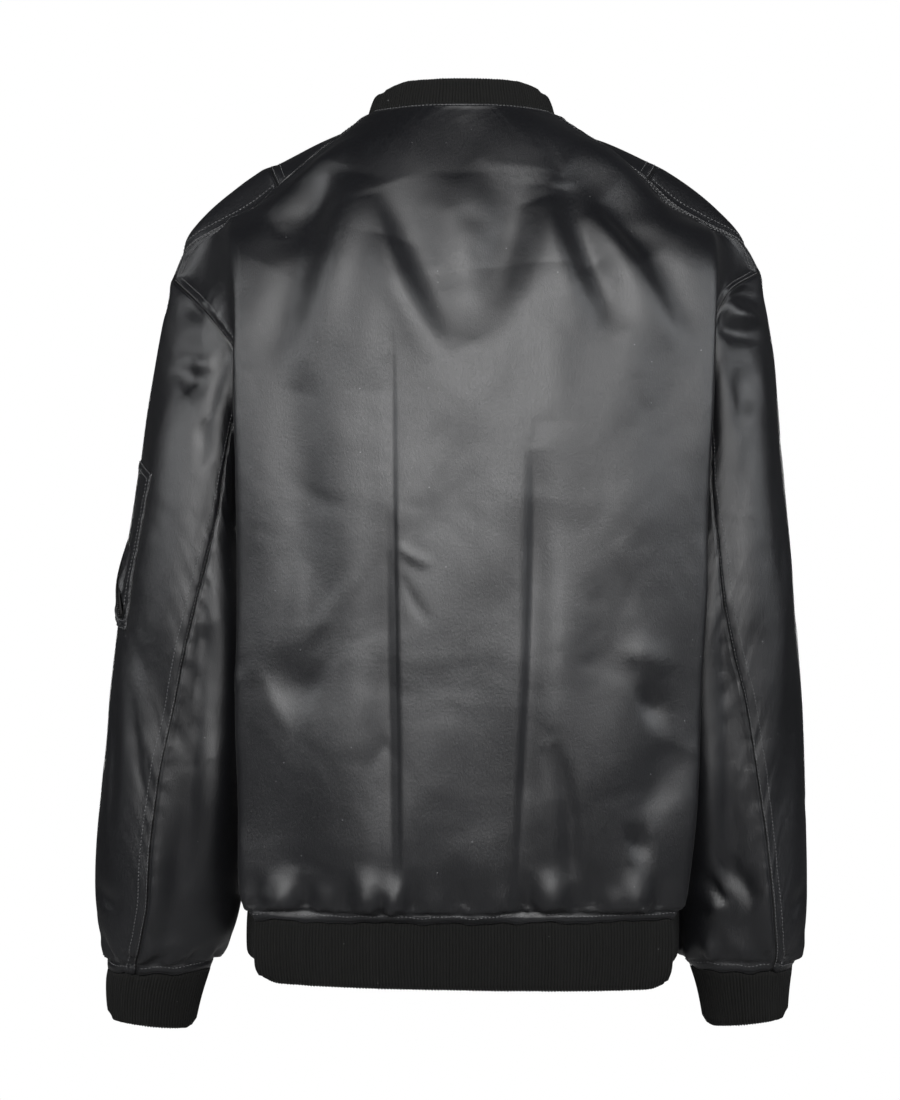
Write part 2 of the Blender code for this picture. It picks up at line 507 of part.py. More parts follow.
def halves(cells, first_diagonal):
    """Each four-cornered cell as two triangles, cut along one diagonal or the other."""
    a, b, c, d = np.moveaxis(cells, -1, 0)
    one = np.where(first_diagonal[..., None], np.stack([a, b, c], -1), np.stack([a, b, d], -1))
    two = np.where(first_diagonal[..., None], np.stack([a, c, d], -1), np.stack([b, c, d], -1))
    return np.concatenate([one.reshape(-1, 3), two.reshape(-1, 3)])


def wall_mesh(name, outer, inner, closed=False, cut=None):
    """A closed loft between an outer and an inner grid. A closed one runs all the way round."""
    if closed:
        outer = np.concatenate([outer, outer[:, :1]], 1)
    if cut is None:
        cut = bends_well(outer)
    rows, columns = outer.shape[0], inner.shape[1]
    a = np.arange(rows * columns).reshape(rows, columns)
    if closed:
        outer = outer[:, :-1]
        a = np.concatenate([a, a[:, :1]], 1)
    b = a + rows * columns

    def cells(index):
        return np.stack([index[:-1, :-1], index[:-1, 1:], index[1:, 1:], index[1:, :-1]], -1)

    def rim(p, q):
        strip = np.stack([p[:-1], q[:-1], q[1:], p[1:]], -1)
        return halves(strip, np.ones(len(strip), bool))
    faces = [halves(cells(a), cut), halves(cells(b), cut)[:, ::-1],
             rim(a[0], b[0]), rim(a[-1][::-1], b[-1][::-1])]
    if not closed:
        faces += [rim(a[::-1, 0], b[::-1, 0]), rim(a[:, -1], b[:, -1])]
    points = np.concatenate([outer.reshape(-1, 3), inner.reshape(-1, 3)])
    return closed_mesh(name, points, np.concatenate(faces).tolist())


def facing_out(grid):
    """The grid with its columns turned round, if need be, so that its faces look out."""
    normal = normals_of([grid])[0]
    outward = grid - grid.reshape(-1, 3).mean(0)
    return grid if (normal * outward).sum() > 0 else grid[:, ::-1]


def resampled(line, count, closed):
    """Points at even distances on the polyline, from end to end, or all round when closed."""
    line = np.concatenate([line, line[:1]]) if closed else line
    step = np.linalg.norm(np.diff(line, axis=0), axis=1)
    run = np.concatenate([[0], np.cumsum(step)])
    at = np.linspace(0, run[-1], count, endpoint=not closed)
    return np.stack([np.interp(at, run, line[:, k]) for k in range(3)], -1)


def plan_normals(line, closed):
    """Outward normals in the horizontal plane of a line that runs anticlockwise, seen from above."""
    if closed:
        along = np.roll(line, -1, 0) - np.roll(line, 1, 0)
    else:
        along = np.gradient(line, axis=0)
    out = np.stack([along[:, 1], -along[:, 0], np.zeros(len(line))], -1)
    return out / np.linalg.norm(out, axis=1, keepdims=True)


def ribbed(rings, ribs, closed):
    """Outer and inner grid of a rib-knit piece: every second column is a raised rib, the inside plain."""
    rings = [resampled(r, 2 * ribs + (0 if closed else 1), closed) for r in rings]
    raised = (np.arange(len(rings[0])) % 2)[:, None]
    outer, inner = [], []
    for ring in rings:
        out = plan_normals(ring, closed)
        outer.append(ring + out * RIB_RISE * (raised - 0.3))
        inner.append(ring - out * KNIT)
    return np.array(outer), np.array(inner)


# ---------------------------------------------------------------- scene objects
for old in list(bpy.data.objects):
    bpy.data.objects.remove(old, do_unlink=True)
jacket = bpy.data.collections.new("bomber_jacket")
bpy.context.scene.collection.children.link(jacket)


def material(name):
    found = bpy.data.materials.get(name)
    if found:
        return found
    colour, roughness, metallic = MATERIALS[name]
    found = bpy.data.materials.new(name)
    found.use_nodes = True
    shader = found.node_tree.nodes["Principled BSDF"]
    shader.inputs["Base Color"].default_value = (*colour, 1)
    shader.inputs["Roughness"].default_value = roughness
    shader.inputs["Metallic"].default_value = metallic
    return found


def add(name, mesh, kind):
    made = bpy.data.objects.new(name, mesh)
    made.data.materials.append(material(kind))
    jacket.objects.link(made)
    return made


def cloth_walls(pieces):
    """Makes all cloth panels at once, since they share the normals along their seams."""
    names = list(pieces)
    grids = [pieces[name] for name in names]
    for name, grid, normal in zip(names, grids, normals_of(grids)):
        outer = grid + shifts_inward(grid, normal)
        add(name, wall_mesh(name, outer, outer - normal * CLOTH), "satin")
    return dict(zip(names, normals_of(grids)))


# ---------------------------------------------------------------- cloth panels
back = back_grid()
front_left, front_right = front_grid(1), front_grid(-1)
sleeve_left = sleeve_grid(SLEEVE_LEFT, armhole_loop(back, front_left, 1), 1)
sleeve_right = sleeve_grid(SLEEVE_RIGHT, armhole_loop(back, front_right, -1), -1)


def under_columns(grid):
    return grid[:, BACK_SEAM:FRONT_SEAM + 1]


def upper_columns(grid):
    return np.concatenate([grid[:, FRONT_SEAM:-1], grid[:, :BACK_SEAM + 1]], 1)


panels = {
    "back": facing_out(back),
    "front_left": facing_out(front_left[:ROW_YOKE + 1]),
    "front_right": facing_out(front_right[:ROW_YOKE + 1]),
    "yoke_left": facing_out(front_left[ROW_YOKE:]),
    "yoke_right": facing_out(front_right[ROW_YOKE:]),
    "sleeve_left_upper": facing_out(upper_columns(sleeve_left)),
    "sleeve_left_under": facing_out(under_columns(sleeve_left)),
    "sleeve_right_upper": facing_out(upper_columns(sleeve_right)),
    "sleeve_right_under": facing_out(under_columns(sleeve_right)),
}
panel_normals = cloth_walls(panels)


# ---------------------------------------------------------------- rib-knit pieces
def body_outline(row):
    """A row all round the body, anticlockwise from above: left zip edge, back, right zip edge."""
    return np.concatenate([front_left[row][::-1], back[row][1:-1], front_right[row]])


def scaled(line, scale, z=None):
    """An outline scaled about the Z axis, its ends kept at the zip and its height changed if asked."""
    moved = line * np.array([scale, scale, 1.0])
    moved[0, 0], moved[-1, 0] = ZIP_GAP, -ZIP_GAP
    if z is not None:
        moved[:, 2] = z
    return moved


hem_line = body_outline(0)
hem_lines = [scaled(hem_line, s, z) for s, z in zip(HEM_ROWS["scale"], HEM_ROWS["z"])]
hem_lines[-1][:, 2] += HEM_TILT * hem_lines[-1][:, 0]
outer, inner = ribbed(hem_lines, RIBS_HEM, False)
add("hem_rib", wall_mesh("hem_rib", outer[::-1], inner[::-1]), "rib_knit")

neck_line = body_outline(-1)
collar_lines = []
for scale, lift in zip(COLLAR_ROWS["scale"], COLLAR_ROWS["lift"]):
    ring = scaled(neck_line, scale)
    ring[:, 2] += lift
    collar_lines.append(ring)
outer, inner = ribbed(collar_lines, RIBS_COLLAR, False)
add("collar_rib", wall_mesh("collar_rib", outer, inner), "rib_knit")


def add_cuff(name, sleeve, rows, side):
    """A closed tube of rib-knit from the sleeve's last ring down to its turned edge."""
    top = sleeve[-1, :-1].copy()
    top[:, 2] -= SEAM_LIFT
    around = np.arctan2(top[:, 1] - rows["y_mid"][0], side * (top[:, 0] - top[:, 0].mean()))
    rings = [top] + [ellipse(rows, k, around, side) for k in range(2)]
    rings = [r if side > 0 else r[::-1] for r in rings]
    outer, inner = ribbed(rings, RIBS_CUFF, True)
    add(name, wall_mesh(name, outer[::-1], inner[::-1], closed=True), "rib_knit")


add_cuff("cuff_left", sleeve_left, CUFF_LEFT, 1)
add_cuff("cuff_right", sleeve_right, CUFF_RIGHT, -1)


# ---------------------------------------------------------------- front zip
def zip_profile():
    """(y, z) up the closed front, on the cloth's outer face, from the hem's edge to the collar's top."""
    hem = [(-abs(hem_line[0, 1]) * s, z) for s, z in zip(HEM_ROWS["scale"], HEM_ROWS["z"])][::-1]
    body = [(p[1], p[2]) for p in front_left[1:, -1]]
    neck = [(neck_line[0, 1] * s, neck_line[0, 2] + up)
            for s, up in zip(COLLAR_ROWS["scale"], COLLAR_ROWS["lift"])]
    return np.array(hem + body + neck[1:])


def swept(profile, section):
    """Rings of a section (x sideways, d outwards) set square to a line in the Y-Z plane."""
    along = np.gradient(profile, axis=0)
    along /= np.linalg.norm(along, axis=1, keepdims=True)
    out = np.stack([-along[:, 1], along[:, 0]], -1)
    rings = []
    for (y, z), (oy, oz) in zip(profile, out):
        rings.append([(x, y + oy * d, z + oz * d) for x, d in section])
    return np.array(rings)


def tube_mesh(name, rings):
    """A closed body through rings of points, capped at both ends."""
    rows, columns = rings.shape[:2]
    a = np.arange(rows * columns).reshape(rows, columns)
    b = np.roll(a, -1, 1)
    faces = np.stack([a[:-1], b[:-1], b[1:], a[1:]], -1).reshape(-1, 4).tolist()
    faces += [a[0][::-1].tolist(), a[-1].tolist()]
    return closed_mesh(name, rings.reshape(-1, 3), faces)


profile = zip_profile()
ZIP_SECTION = ((-TAPE_HALF, -TAPE_DEPTH - TAPE_WALL), (TAPE_HALF, -TAPE_DEPTH - TAPE_WALL),
               (TAPE_HALF, -TAPE_DEPTH), (CHAIN_HALF, -TAPE_DEPTH), (CHAIN_HALF, CHAIN_OUT),
               (-CHAIN_HALF, CHAIN_OUT), (-CHAIN_HALF, -TAPE_DEPTH), (-TAPE_HALF, -TAPE_DEPTH))
add("front_zip", tube_mesh("front_zip", swept(profile, ZIP_SECTION)), "zip_tape")


# ---------------------------------------------------------------- sleeve pocket
def read_grid(grid, rows, columns):
    """The grid read between its points, straight from one to the next."""
    r, c = np.meshgrid(rows, columns, indexing="ij")
    i = np.clip(np.floor(r).astype(int), 0, grid.shape[0] - 2)
    j = np.clip(np.floor(c).astype(int), 0, grid.shape[1] - 2)
    u, v = (r - i)[..., None], (c - j)[..., None]
    low = grid[i, j] * (1 - v) + grid[i, j + 1] * v
    high = grid[i + 1, j] * (1 - v) + grid[i + 1, j + 1] * v
    return low * (1 - u) + high * u


upper = panels["sleeve_left_upper"]
outermost = FRONT_SEAM - BACK_SEAM                 # column of the sleeve's outer line in the upper panel
front_first = upper[0, 0, 1] < upper[0, -1, 1]     # whether the panel's columns start at the front seam
edges = (POCKET_FRONT, POCKET_EDGE) if front_first else (-POCKET_EDGE, -POCKET_FRONT)
rows = slice(SLEEVE_LEVELS.index(POCKET_LEVELS[0]), SLEEVE_LEVELS.index(POCKET_LEVELS[1]) + 1)
columns = slice(outermost + edges[0], outermost + edges[1] + 1)
under = upper[rows, columns]
lift = panel_normals["sleeve_left_upper"][rows, columns]
middle_high = np.sin(np.linspace(0.25, math.pi - 0.25, under.shape[1]))
swell = np.array(POCKET_SWELL)[:, None, None] * middle_high[None, :, None]
pocket_inner = under + lift * LAID_ON
pocket_outer = under + lift * (LAID_ON + POCKET_WALL + swell)
same_cut = bends_well(upper)[rows.start:rows.stop - 1, columns.start:columns.stop - 1]
add("sleeve_pocket", wall_mesh("sleeve_pocket", pocket_outer, pocket_inner, cut=same_cut), "satin")


def pocket_point(share, from_outer):
    """A point on the pocket's face and the normal there, by share of its rows and column from the middle."""
    row = share * (len(pocket_outer) - 1)
    at = (from_outer - POCKET_FRONT) if front_first else (POCKET_EDGE - from_outer)
    point, normal = (read_grid(grid, [row], [at])[0, 0] for grid in (pocket_outer, lift))
    return point, normal / np.linalg.norm(normal)


share1, column1, share2, column2 = POCKET_ZIP
stations = [pocket_point(share1 + (share2 - share1) * t, column1 + (column2 - column1) * t)
            for t in np.linspace(0, 1, 15)]
line = np.array([p for p, _ in stations])
facing = np.array([n for _, n in stations])
along = np.gradient(line, axis=0)
along /= np.linalg.norm(along, axis=1, keepdims=True)
across = np.cross(facing, along)
low = POCKET_CHAIN_LIFT
high = low + POCKET_CHAIN_RISE
section = ((-POCKET_CHAIN_HALF, low), (POCKET_CHAIN_HALF, low), (POCKET_CHAIN_HALF * 0.8, high),
           (-POCKET_CHAIN_HALF * 0.8, high))
rings = np.array([[p + a * x + n * d for x, d in section] for p, a, n in zip(line, across, facing)])
add("pocket_zip", tube_mesh("pocket_zip", rings), "zip_tape")


# ---------------------------------------------------------------- sliders and pulls
def box_rings(corners, x_half):
    """A prism: a closed outline of (s, d) points drawn out sideways from -x_half to x_half."""
    return [[(x, s, d) for s, d in corners] for x in (-x_half, x_half)]


def placed(points, scale, origin, across_dir, along_dir, out_dir):
    points = np.asarray(points) * scale
    return origin + points[..., :1] * across_dir + points[..., 1:2] * along_dir + points[..., 2:3] * out_dir


def slider_and_pull(prefix, scale, origin, across_dir, along_dir, out_dir):
    """A slider plate with a bail standing on it, and a pull that hangs on its own bar under the bail."""
    frame = (scale, origin, across_dir, along_dir, out_dir)
    half_s, thick, top = SLIDER_HALF_S, SLIDER_THICK, SLIDER_THICK + BAIL_HIGH
    inside_s, inside_top = BAIL_HALF_S - BAIL_BAR, top - BAIL_BAR
    plan = ((-0.62, -1), (0.62, -1), (1, 0.25), (0.8, 1), (-0.8, 1), (-1, 0.25))
    plate = [[(x * SLIDER_HALF_X, s * half_s, d) for x, s in plan] for d in (0.0, thick)]
    plate_mesh = tube_mesh(prefix + "_slider", placed(plate, *frame))
    bail = [(-BAIL_HALF_S, thick - 0.0003), (-inside_s, thick - 0.0003), (-inside_s, inside_top),
            (inside_s, inside_top), (inside_s, thick - 0.0003), (BAIL_HALF_S, thick - 0.0003),
            (BAIL_HALF_S, top), (-BAIL_HALF_S, top)]
    bail_mesh = tube_mesh(prefix + "_bail", placed(box_rings(bail, BAIL_HALF_X), *frame))
    slider = add(prefix + "_slider", plate_mesh, "zip_metal")
    bridge = bpy.data.objects.new(prefix + "_bail", bail_mesh)
    cutters.objects.link(bridge)
    join = slider.modifiers.new("bail", "BOOLEAN")
    join.operation, join.solver, join.object = "UNION", "EXACT", bridge
    axis = thick + PULL_AXIS
    half = PULL_THICK / 2
    outline = [(-PULL_HALF_X, half), (PULL_HALF_X, half), (PULL_HALF_X, -PULL_LENGTH * 0.86),
               (PULL_HALF_X * 0.6, -PULL_LENGTH), (-PULL_HALF_X * 0.6, -PULL_LENGTH),
               (-PULL_HALF_X, -PULL_LENGTH * 0.86)]
    inside = PULL_HALF_X - PULL_RAIL
    window = [(-inside, -half), (inside, -half), (inside, -PULL_WINDOW), (-inside, -PULL_WINDOW)]
    body = [[(x, s, d) for x, s in outline] for d in (-half, half)]
    hole = [[(x, s, d) for x, s in window] for d in (-2 * half, 2 * half)]
    hinge = placed([[(0, 0, axis)]], *frame)[0, 0]
    local = (scale, np.zeros(3), across_dir, along_dir, out_dir)
    pull = add(prefix + "_pull", tube_mesh(prefix + "_pull", placed(body, *local)), "zip_metal")
    pull.location = hinge
    opening = bpy.data.objects.new(prefix + "_window", tube_mesh(prefix + "_window", placed(hole, *local)))
    opening.location = hinge
    cutters.objects.link(opening)
    cut = pull.modifiers.new("window", "BOOLEAN")
    cut.operation, cut.solver, cut.object = "DIFFERENCE", "EXACT", opening


cutters = bpy.data.collections.new("cutters")
bpy.context.scene.collection.children.link(cutters)

top_line = profile[-3:]
collar_along = (top_line[-1] - top_line[0]) / np.linalg.norm(top_line[-1] - top_line[0])
up = np.array([0.0, *collar_along])
out = np.array([0.0, -collar_along[1], collar_along[0]])
seat = np.array([0.0, *profile[-1]]) - up * (SLIDER_HALF_S + FRONT_SLIDER_DOWN) + out * SLIDER_LIFT
slider_and_pull("front_zip", 1.0, seat, np.array([-1.0, 0, 0]), up, out)

seat, out = pocket_point(share1 + (share2 - share1) * POCKET_SLIDER_SHARE,
                         column1 + (column2 - column1) * POCKET_SLIDER_SHARE)
run = line[0] - line[4]
run = run - out * (run @ out)
run /= np.linalg.norm(run)
seat = seat + out * (high + POCKET_SLIDER_LIFT)
slider_and_pull("pocket_zip", POCKET_SCALE, seat, np.cross(run, out), run, out)

for cutter in cutters.objects:
    cutter.hide_render = True
    cutter.display_type = "WIRE"
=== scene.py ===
# %% [markdown]
# # A satin bomber jacket
#
# The jacket is worn and hollow: black satin panels, a rib-knit collar, cuffs and hem, a zip up the front
# and a zipped pocket on the left sleeve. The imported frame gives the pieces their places. This script
# dresses them. Each cloth piece is one surface worked out with numpy, as a function of two parameters:
# the level up the body or down the sleeve, and the way round. The same small tables of sizes shape the
# frame's solids, so the fine surfaces lie where those lie.

import math

import bpy
import numpy as np
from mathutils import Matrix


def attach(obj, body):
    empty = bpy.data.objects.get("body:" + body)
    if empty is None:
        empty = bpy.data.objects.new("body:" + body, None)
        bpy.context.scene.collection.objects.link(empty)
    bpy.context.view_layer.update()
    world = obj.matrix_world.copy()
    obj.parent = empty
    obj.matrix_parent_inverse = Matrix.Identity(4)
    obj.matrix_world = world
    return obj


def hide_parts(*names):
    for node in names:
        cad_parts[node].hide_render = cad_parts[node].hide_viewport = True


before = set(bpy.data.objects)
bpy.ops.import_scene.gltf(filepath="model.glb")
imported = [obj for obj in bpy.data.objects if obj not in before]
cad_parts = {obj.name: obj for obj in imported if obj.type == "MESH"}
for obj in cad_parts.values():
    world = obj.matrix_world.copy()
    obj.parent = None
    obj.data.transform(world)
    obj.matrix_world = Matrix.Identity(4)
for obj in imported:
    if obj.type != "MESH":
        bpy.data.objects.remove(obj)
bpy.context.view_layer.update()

# %% [markdown]
# ## Sizes
#
# Everything is in metres. The wearer's left is +X, the front faces -Y, and the origin is in the middle of
# the neck opening. The cloth is far thinner than a cell of its grid, so the wall comes last, with Solidify.

# %% Sizes of the cloth and of what holds it together
CLOTH = 0.0011            # satin wall
CELL = 0.0031             # side of a cloth cell
EDGE_FADE = 0.006         # distance from a panel's edge over which its folds die away
ZIP_GAP = 0.0040          # half the opening between the two fronts
SIDES = {1: "left", -1: "right"}               # the wearer's sides, by the sign of X
STITCH = 0.0031           # length of a stitch
THREAD = 0.00042          # radius of the sewing thread
LAP = 0.0075              # breadth of the turned-in edge that lies under a sewn seam
FLANGE_ROW = 0.0066       # distance of the stitches over a band of knit from the panel's edge
UNDERARM, TIP, YOKE, NECK = 6, 10, 14, 16      # levels where the seams meet
BACK_ROUND = 2.4          # how flat the back is between its folds (power of the plan curve)
FLANK_OUT, FLANK_UNDER, FLANK_IN, FLANK_TUCK = 0.20, 0.50, 0.60, 0.012


def table(columns, *rows):
    """A dictionary from each named column to its values, one for each row."""
    values = np.array(rows, float)
    return {name: values[:, k] for k, name in enumerate(columns.split())}


def run_along(line):
    """Distance of each point of a polyline from its first, along it."""
    return np.concatenate([[0], np.cumsum(np.linalg.norm(np.diff(line, axis=0), axis=1))])


def read_line(line, run, at):
    """Points of a polyline at distances along it, which run gives for its own points."""
    return np.stack([np.interp(at, run, line[:, k]) for k in range(3)], -1)


def unit(vectors):
    """The vectors, each made one long."""
    return vectors / np.linalg.norm(vectors, axis=-1, keepdims=True)


# %% [markdown]
# ## The body's shape
#
# A tailor would record a body form as a few girth lines. These tables do that: a row for each of
# seventeen levels from the hem seam to the neck seam, with the centre line, the pressed fold at each back
# corner, the chest and the crest that runs over the shoulder. Side seam, armholes and shoulder seam have
# tables of their own, because the panels on both sides share them.

# %% Tables of the body
# Back: centre line and pressed fold at each level, from the hem seam (0) to the neck seam (16).
BACK = table(
    "y_back  z_back  fold_left fold_right y_fold  z_fold",
    (0.1100, -0.655, 0.1640, 0.1640, 0.0850, -0.6550),
    (0.1170, -0.645, 0.1750, 0.1760, 0.0880, -0.6450),
    (0.1230, -0.625, 0.1780, 0.1785, 0.0900, -0.6250),
    (0.1290, -0.560, 0.1800, 0.1865, 0.0905, -0.5600),
    (0.1320, -0.480, 0.1815, 0.1910, 0.0910, -0.4800),
    (0.1330, -0.380, 0.1800, 0.1955, 0.0910, -0.3800),
    (0.1330, -0.335, 0.1800, 0.1965, 0.0910, -0.3400),
    (0.1310, -0.265, 0.1805, 0.1975, 0.0900, -0.2700),
    (0.1270, -0.205, 0.1810, 0.1985, 0.0870, -0.2120),
    (0.1210, -0.160, 0.1820, 0.2005, 0.0810, -0.1650),
    (0.1140, -0.127, 0.1840, 0.2015, 0.0700, -0.1300),
    (0.1080, -0.104, 0.1870, 0.2020, 0.0520, -0.1100),
    (0.1020, -0.085, 0.1900, 0.1930, 0.0320, -0.1005),
    (0.0940, -0.065, 0.1655, 0.1660, 0.0340, -0.0870),
    (0.0860, -0.047, 0.1435, 0.1435, 0.0355, -0.0680),
    (0.0770, -0.030, 0.1190, 0.1190, 0.0355, -0.0460),
    (0.0660, -0.0105, 0.0700, 0.0675, 0.0306, -0.0105),
)

# Fronts: zip edge, chest corner and the crest that runs over the top of the shoulder. The y are forwards.
FRONT = table(
    "y_edge  z_edge  x_chest y_chest z_chest x_crest y_crest z_crest",
    (0.1100, -0.655, 0.1620, 0.0830, -0.655, 0.1745, 0.0450, -0.6550),
    (0.1170, -0.645, 0.1690, 0.0880, -0.645, 0.1740, 0.0450, -0.6450),
    (0.1220, -0.625, 0.1720, 0.0890, -0.625, 0.1740, 0.0450, -0.6250),
    (0.1280, -0.560, 0.1730, 0.0880, -0.560, 0.1700, 0.0450, -0.5600),
    (0.1310, -0.480, 0.1720, 0.0880, -0.480, 0.1660, 0.0450, -0.4800),
    (0.1330, -0.380, 0.1700, 0.0880, -0.380, 0.1620, 0.0450, -0.3820),
    (0.1330, -0.340, 0.1690, 0.0880, -0.340, 0.1630, 0.0450, -0.3430),
    (0.1325, -0.295, 0.1690, 0.0880, -0.285, 0.1670, 0.0620, -0.2800),
    (0.1310, -0.262, 0.1700, 0.0870, -0.240, 0.1710, 0.0740, -0.2310),
    (0.1290, -0.235, 0.1710, 0.0850, -0.205, 0.1870, 0.0660, -0.1920),
    (0.1260, -0.210, 0.1720, 0.0800, -0.175, 0.2250, 0.0300, -0.1520),
    (0.1220, -0.187, 0.1720, 0.0730, -0.150, 0.2290, 0.0040, -0.1140),
    (0.1170, -0.165, 0.1700, 0.0660, -0.130, 0.2090, 0.0000, -0.0850),
    (0.1100, -0.143, 0.1600, 0.0600, -0.110, 0.1850, 0.0000, -0.0658),
    (0.1010, -0.122, 0.1400, 0.0560, -0.090, 0.1596, 0.0000, -0.0492),
    (0.0900, -0.100, 0.1120, 0.0520, -0.066, 0.1280, 0.0000, -0.0332),
    (0.0780, -0.080, 0.0580, 0.0530, -0.0428, 0.0764, 0.0200, -0.0151),
)

# Side seam, shoulder seam and armhole, by level. The x are sideways, with a column for each side.
SIDE_SEAM = table(
    "level x_left y_left z_left x_right y_right z_right",
    (0, 0.1760, 0.000, -0.6550, 0.1760, 0.000, -0.6550),
    (1, 0.1770, 0.000, -0.6450, 0.1770, 0.000, -0.6450),
    (2, 0.1755, 0.000, -0.6250, 0.1740, 0.000, -0.6250),
    (3, 0.1690, 0.000, -0.5600, 0.1690, 0.000, -0.5600),
    (4, 0.1630, 0.000, -0.4800, 0.1630, 0.000, -0.4800),
    (5, 0.1570, 0.000, -0.3850, 0.1570, 0.000, -0.3850),
    (6, 0.1660, 0.000, -0.3450, 0.1660, 0.000, -0.3450),
)
ARMHOLE_BACK = table(
    "level x_left y_left z_left x_right y_right z_right",
    (6.0, 0.1660, 0.0000, -0.3450, 0.1660, 0.0000, -0.3450),
    (6.5, 0.1700, 0.0260, -0.3280, 0.1735, 0.0270, -0.3260),
    (7.0, 0.1745, 0.0420, -0.2800, 0.1850, 0.0420, -0.2720),
    (8.0, 0.1800, 0.0590, -0.2140, 0.1960, 0.0610, -0.1960),
    (9.0, 0.2010, 0.0500, -0.1810, 0.2120, 0.0510, -0.1600),
    (10.0, 0.2382, 0.0000, -0.1435, 0.2435, 0.0000, -0.1380),
)
ARMHOLE_FRONT = table(
    "level x_left y_left z_left x_right y_right z_right",
    (6.0, 0.1660, 0.0000, -0.3450, 0.1660, 0.0000, -0.3450),
    (6.5, 0.1700, -0.0260, -0.3280, 0.1700, -0.0260, -0.3280),
    (7.0, 0.1745, -0.0410, -0.2800, 0.1745, -0.0410, -0.2790),
    (8.0, 0.1790, -0.0580, -0.2220, 0.1810, -0.0580, -0.2190),
    (9.0, 0.2010, -0.0480, -0.1820, 0.2040, -0.0480, -0.1780),
    (10.0, 0.2382, 0.0000, -0.1435, 0.2435, 0.0000, -0.1380),
)
SHOULDER_SEAM = table(
    "level x_left y_left z_left x_right y_right z_right",
    (10, 0.2382, 0.000, -0.1435, 0.2435, 0.000, -0.1380),
    (11, 0.2255, 0.012, -0.1210, 0.2280, 0.012, -0.1160),
    (12, 0.1960, 0.024, -0.1040, 0.1960, 0.024, -0.1010),
    (13, 0.1717, 0.028, -0.0912, 0.1717, 0.028, -0.0875),
    (14, 0.1490, 0.028, -0.0727, 0.1490, 0.028, -0.0665),
    (15, 0.1242, 0.025, -0.0480, 0.1242, 0.025, -0.0470),
    (16, 0.0790, 0.008, -0.0105, 0.0762, 0.008, -0.0105),
)
CREST_RIGHT = table(      # the right crest against the left: how much further out and how much higher
    "level outwards upwards",
    (0, 0.0, 0.0), (9, 0.0, 0.0), (10, 0.0055, 0.0050), (11, 0.0010, 0.0015), (12, 0.0, 0.0010),
    (13, 0.0, 0.0012), (14, 0.0, 0.0005), (15, 0.0, 0.0003), (16, -0.0030, 0.0),
)

# %% [markdown]
# ## Curves through the tables
#
# The tables are coarse and the cloth is fine. A cubic curve joins the rows, with slopes chosen so that it
# never swings past a value, as a thin batten bent round pins would. Read at any level, it gives the form
# as finely as the cloth needs. The levels are spaced so that every row of cells is about as deep as wide.

# %% Read the tables smoothly
def through(knots, values, at):
    """A smooth curve through the knots that never swings past them: cubic Hermite pieces whose slope at a
    knot is the harmonic mean of the slopes beside it, or nought where these differ in sign."""
    k, v, at = np.asarray(knots, float), np.asarray(values, float), np.asarray(at, float)
    h = np.diff(k)
    d = np.diff(v) / h
    m = np.zeros_like(v)
    m[0], m[-1] = d[0], d[-1]
    product, total = d[1:] * d[:-1], d[1:] + d[:-1]
    m[1:-1] = np.where(product > 0, 2 * product / np.where(total == 0, 1, total), 0)
    i = np.clip(np.searchsorted(k, at, side="right") - 1, 0, len(h) - 1)
    t = (at - k[i]) / h[i]
    start = (1 + 2 * t) * (1 - t) ** 2 * v[i] + t * (1 - t) ** 2 * h[i] * m[i]
    return start + t * t * (3 - 2 * t) * v[i + 1] + t * t * (t - 1) * h[i] * m[i + 1]


def column(rows, name, at):
    """A table's column, read smoothly at the levels asked for."""
    values = rows[name]
    return through(np.arange(len(values)), values, at)


def smooth_step(x):
    """0 below nought, 1 above one, x*x*(3-2x) between."""
    x = np.clip(x, 0, 1)
    return x * x * (3 - 2 * x)


def seam_line(rows, side, levels):
    """Points of a seam at the levels asked for, on the wearer's left (side 1) or right (side -1)."""
    x, y, z = (through(rows["level"], rows[f"{axis}_{SIDES[side]}"], levels) for axis in "xyz")
    return np.stack([side * x, y, z], -1)


def side_ends(side, armhole, levels):
    """Points at the side ends of all rows: side seam, one half of the armhole, shoulder seam."""
    below, above = levels < UNDERARM, levels > TIP
    return np.concatenate([seam_line(SIDE_SEAM, side, levels[below]),
                           seam_line(armhole, side, levels[~below & ~above]),
                           seam_line(SHOULDER_SEAM, side, levels[above])])


def even_levels(first, last, *lines):
    """Levels between two seams, spaced so that the longest of the lines moves on by one cell each time."""
    fine = np.linspace(first, last, 400)
    steps = [np.linalg.norm(np.diff(line(fine), axis=0), axis=1) for line in lines]
    run = np.concatenate([[0], np.cumsum(np.max(steps, axis=0))])
    return np.interp(np.linspace(0, run[-1], int(np.ceil(run[-1] / CELL)) + 1), run, fine)


def side_line(levels):
    """The left side ends of the back."""
    return side_ends(1, ARMHOLE_BACK, levels)


def centre_line(levels):
    """The centre line of the back, as depth and height."""
    return np.stack([column(BACK, "y_back", levels), column(BACK, "z_back", levels)], -1)


spans = [even_levels(a, b, side_line, centre_line)
         for a, b in ((0, UNDERARM), (UNDERARM, TIP), (TIP, YOKE), (YOKE, NECK))]
spans[0] = np.concatenate([np.linspace(spans[0][0], spans[0][6], 13)[:-1], spans[0][6:]])    # halved at the hem
LEVELS = np.concatenate([span[:-1] for span in spans] + [[float(NECK)]])
ROW_YOKE = sum(len(span) - 1 for span in spans[:3])
print("rows of cloth cells from hem to neck:", len(LEVELS) - 1, "yoke seam at row", ROW_YOKE)


# %% [markdown]
# ## Back and fronts as grids
#
# A row of the back runs from its centre, flat and then rounding off, to the pressed fold at the corner, and
# on from there over a hanging curve to the side seam. A row of a front runs from the side seam over the
# crest and the chest to the zip. Every row is worked out at once: levels go down the array, columns across.

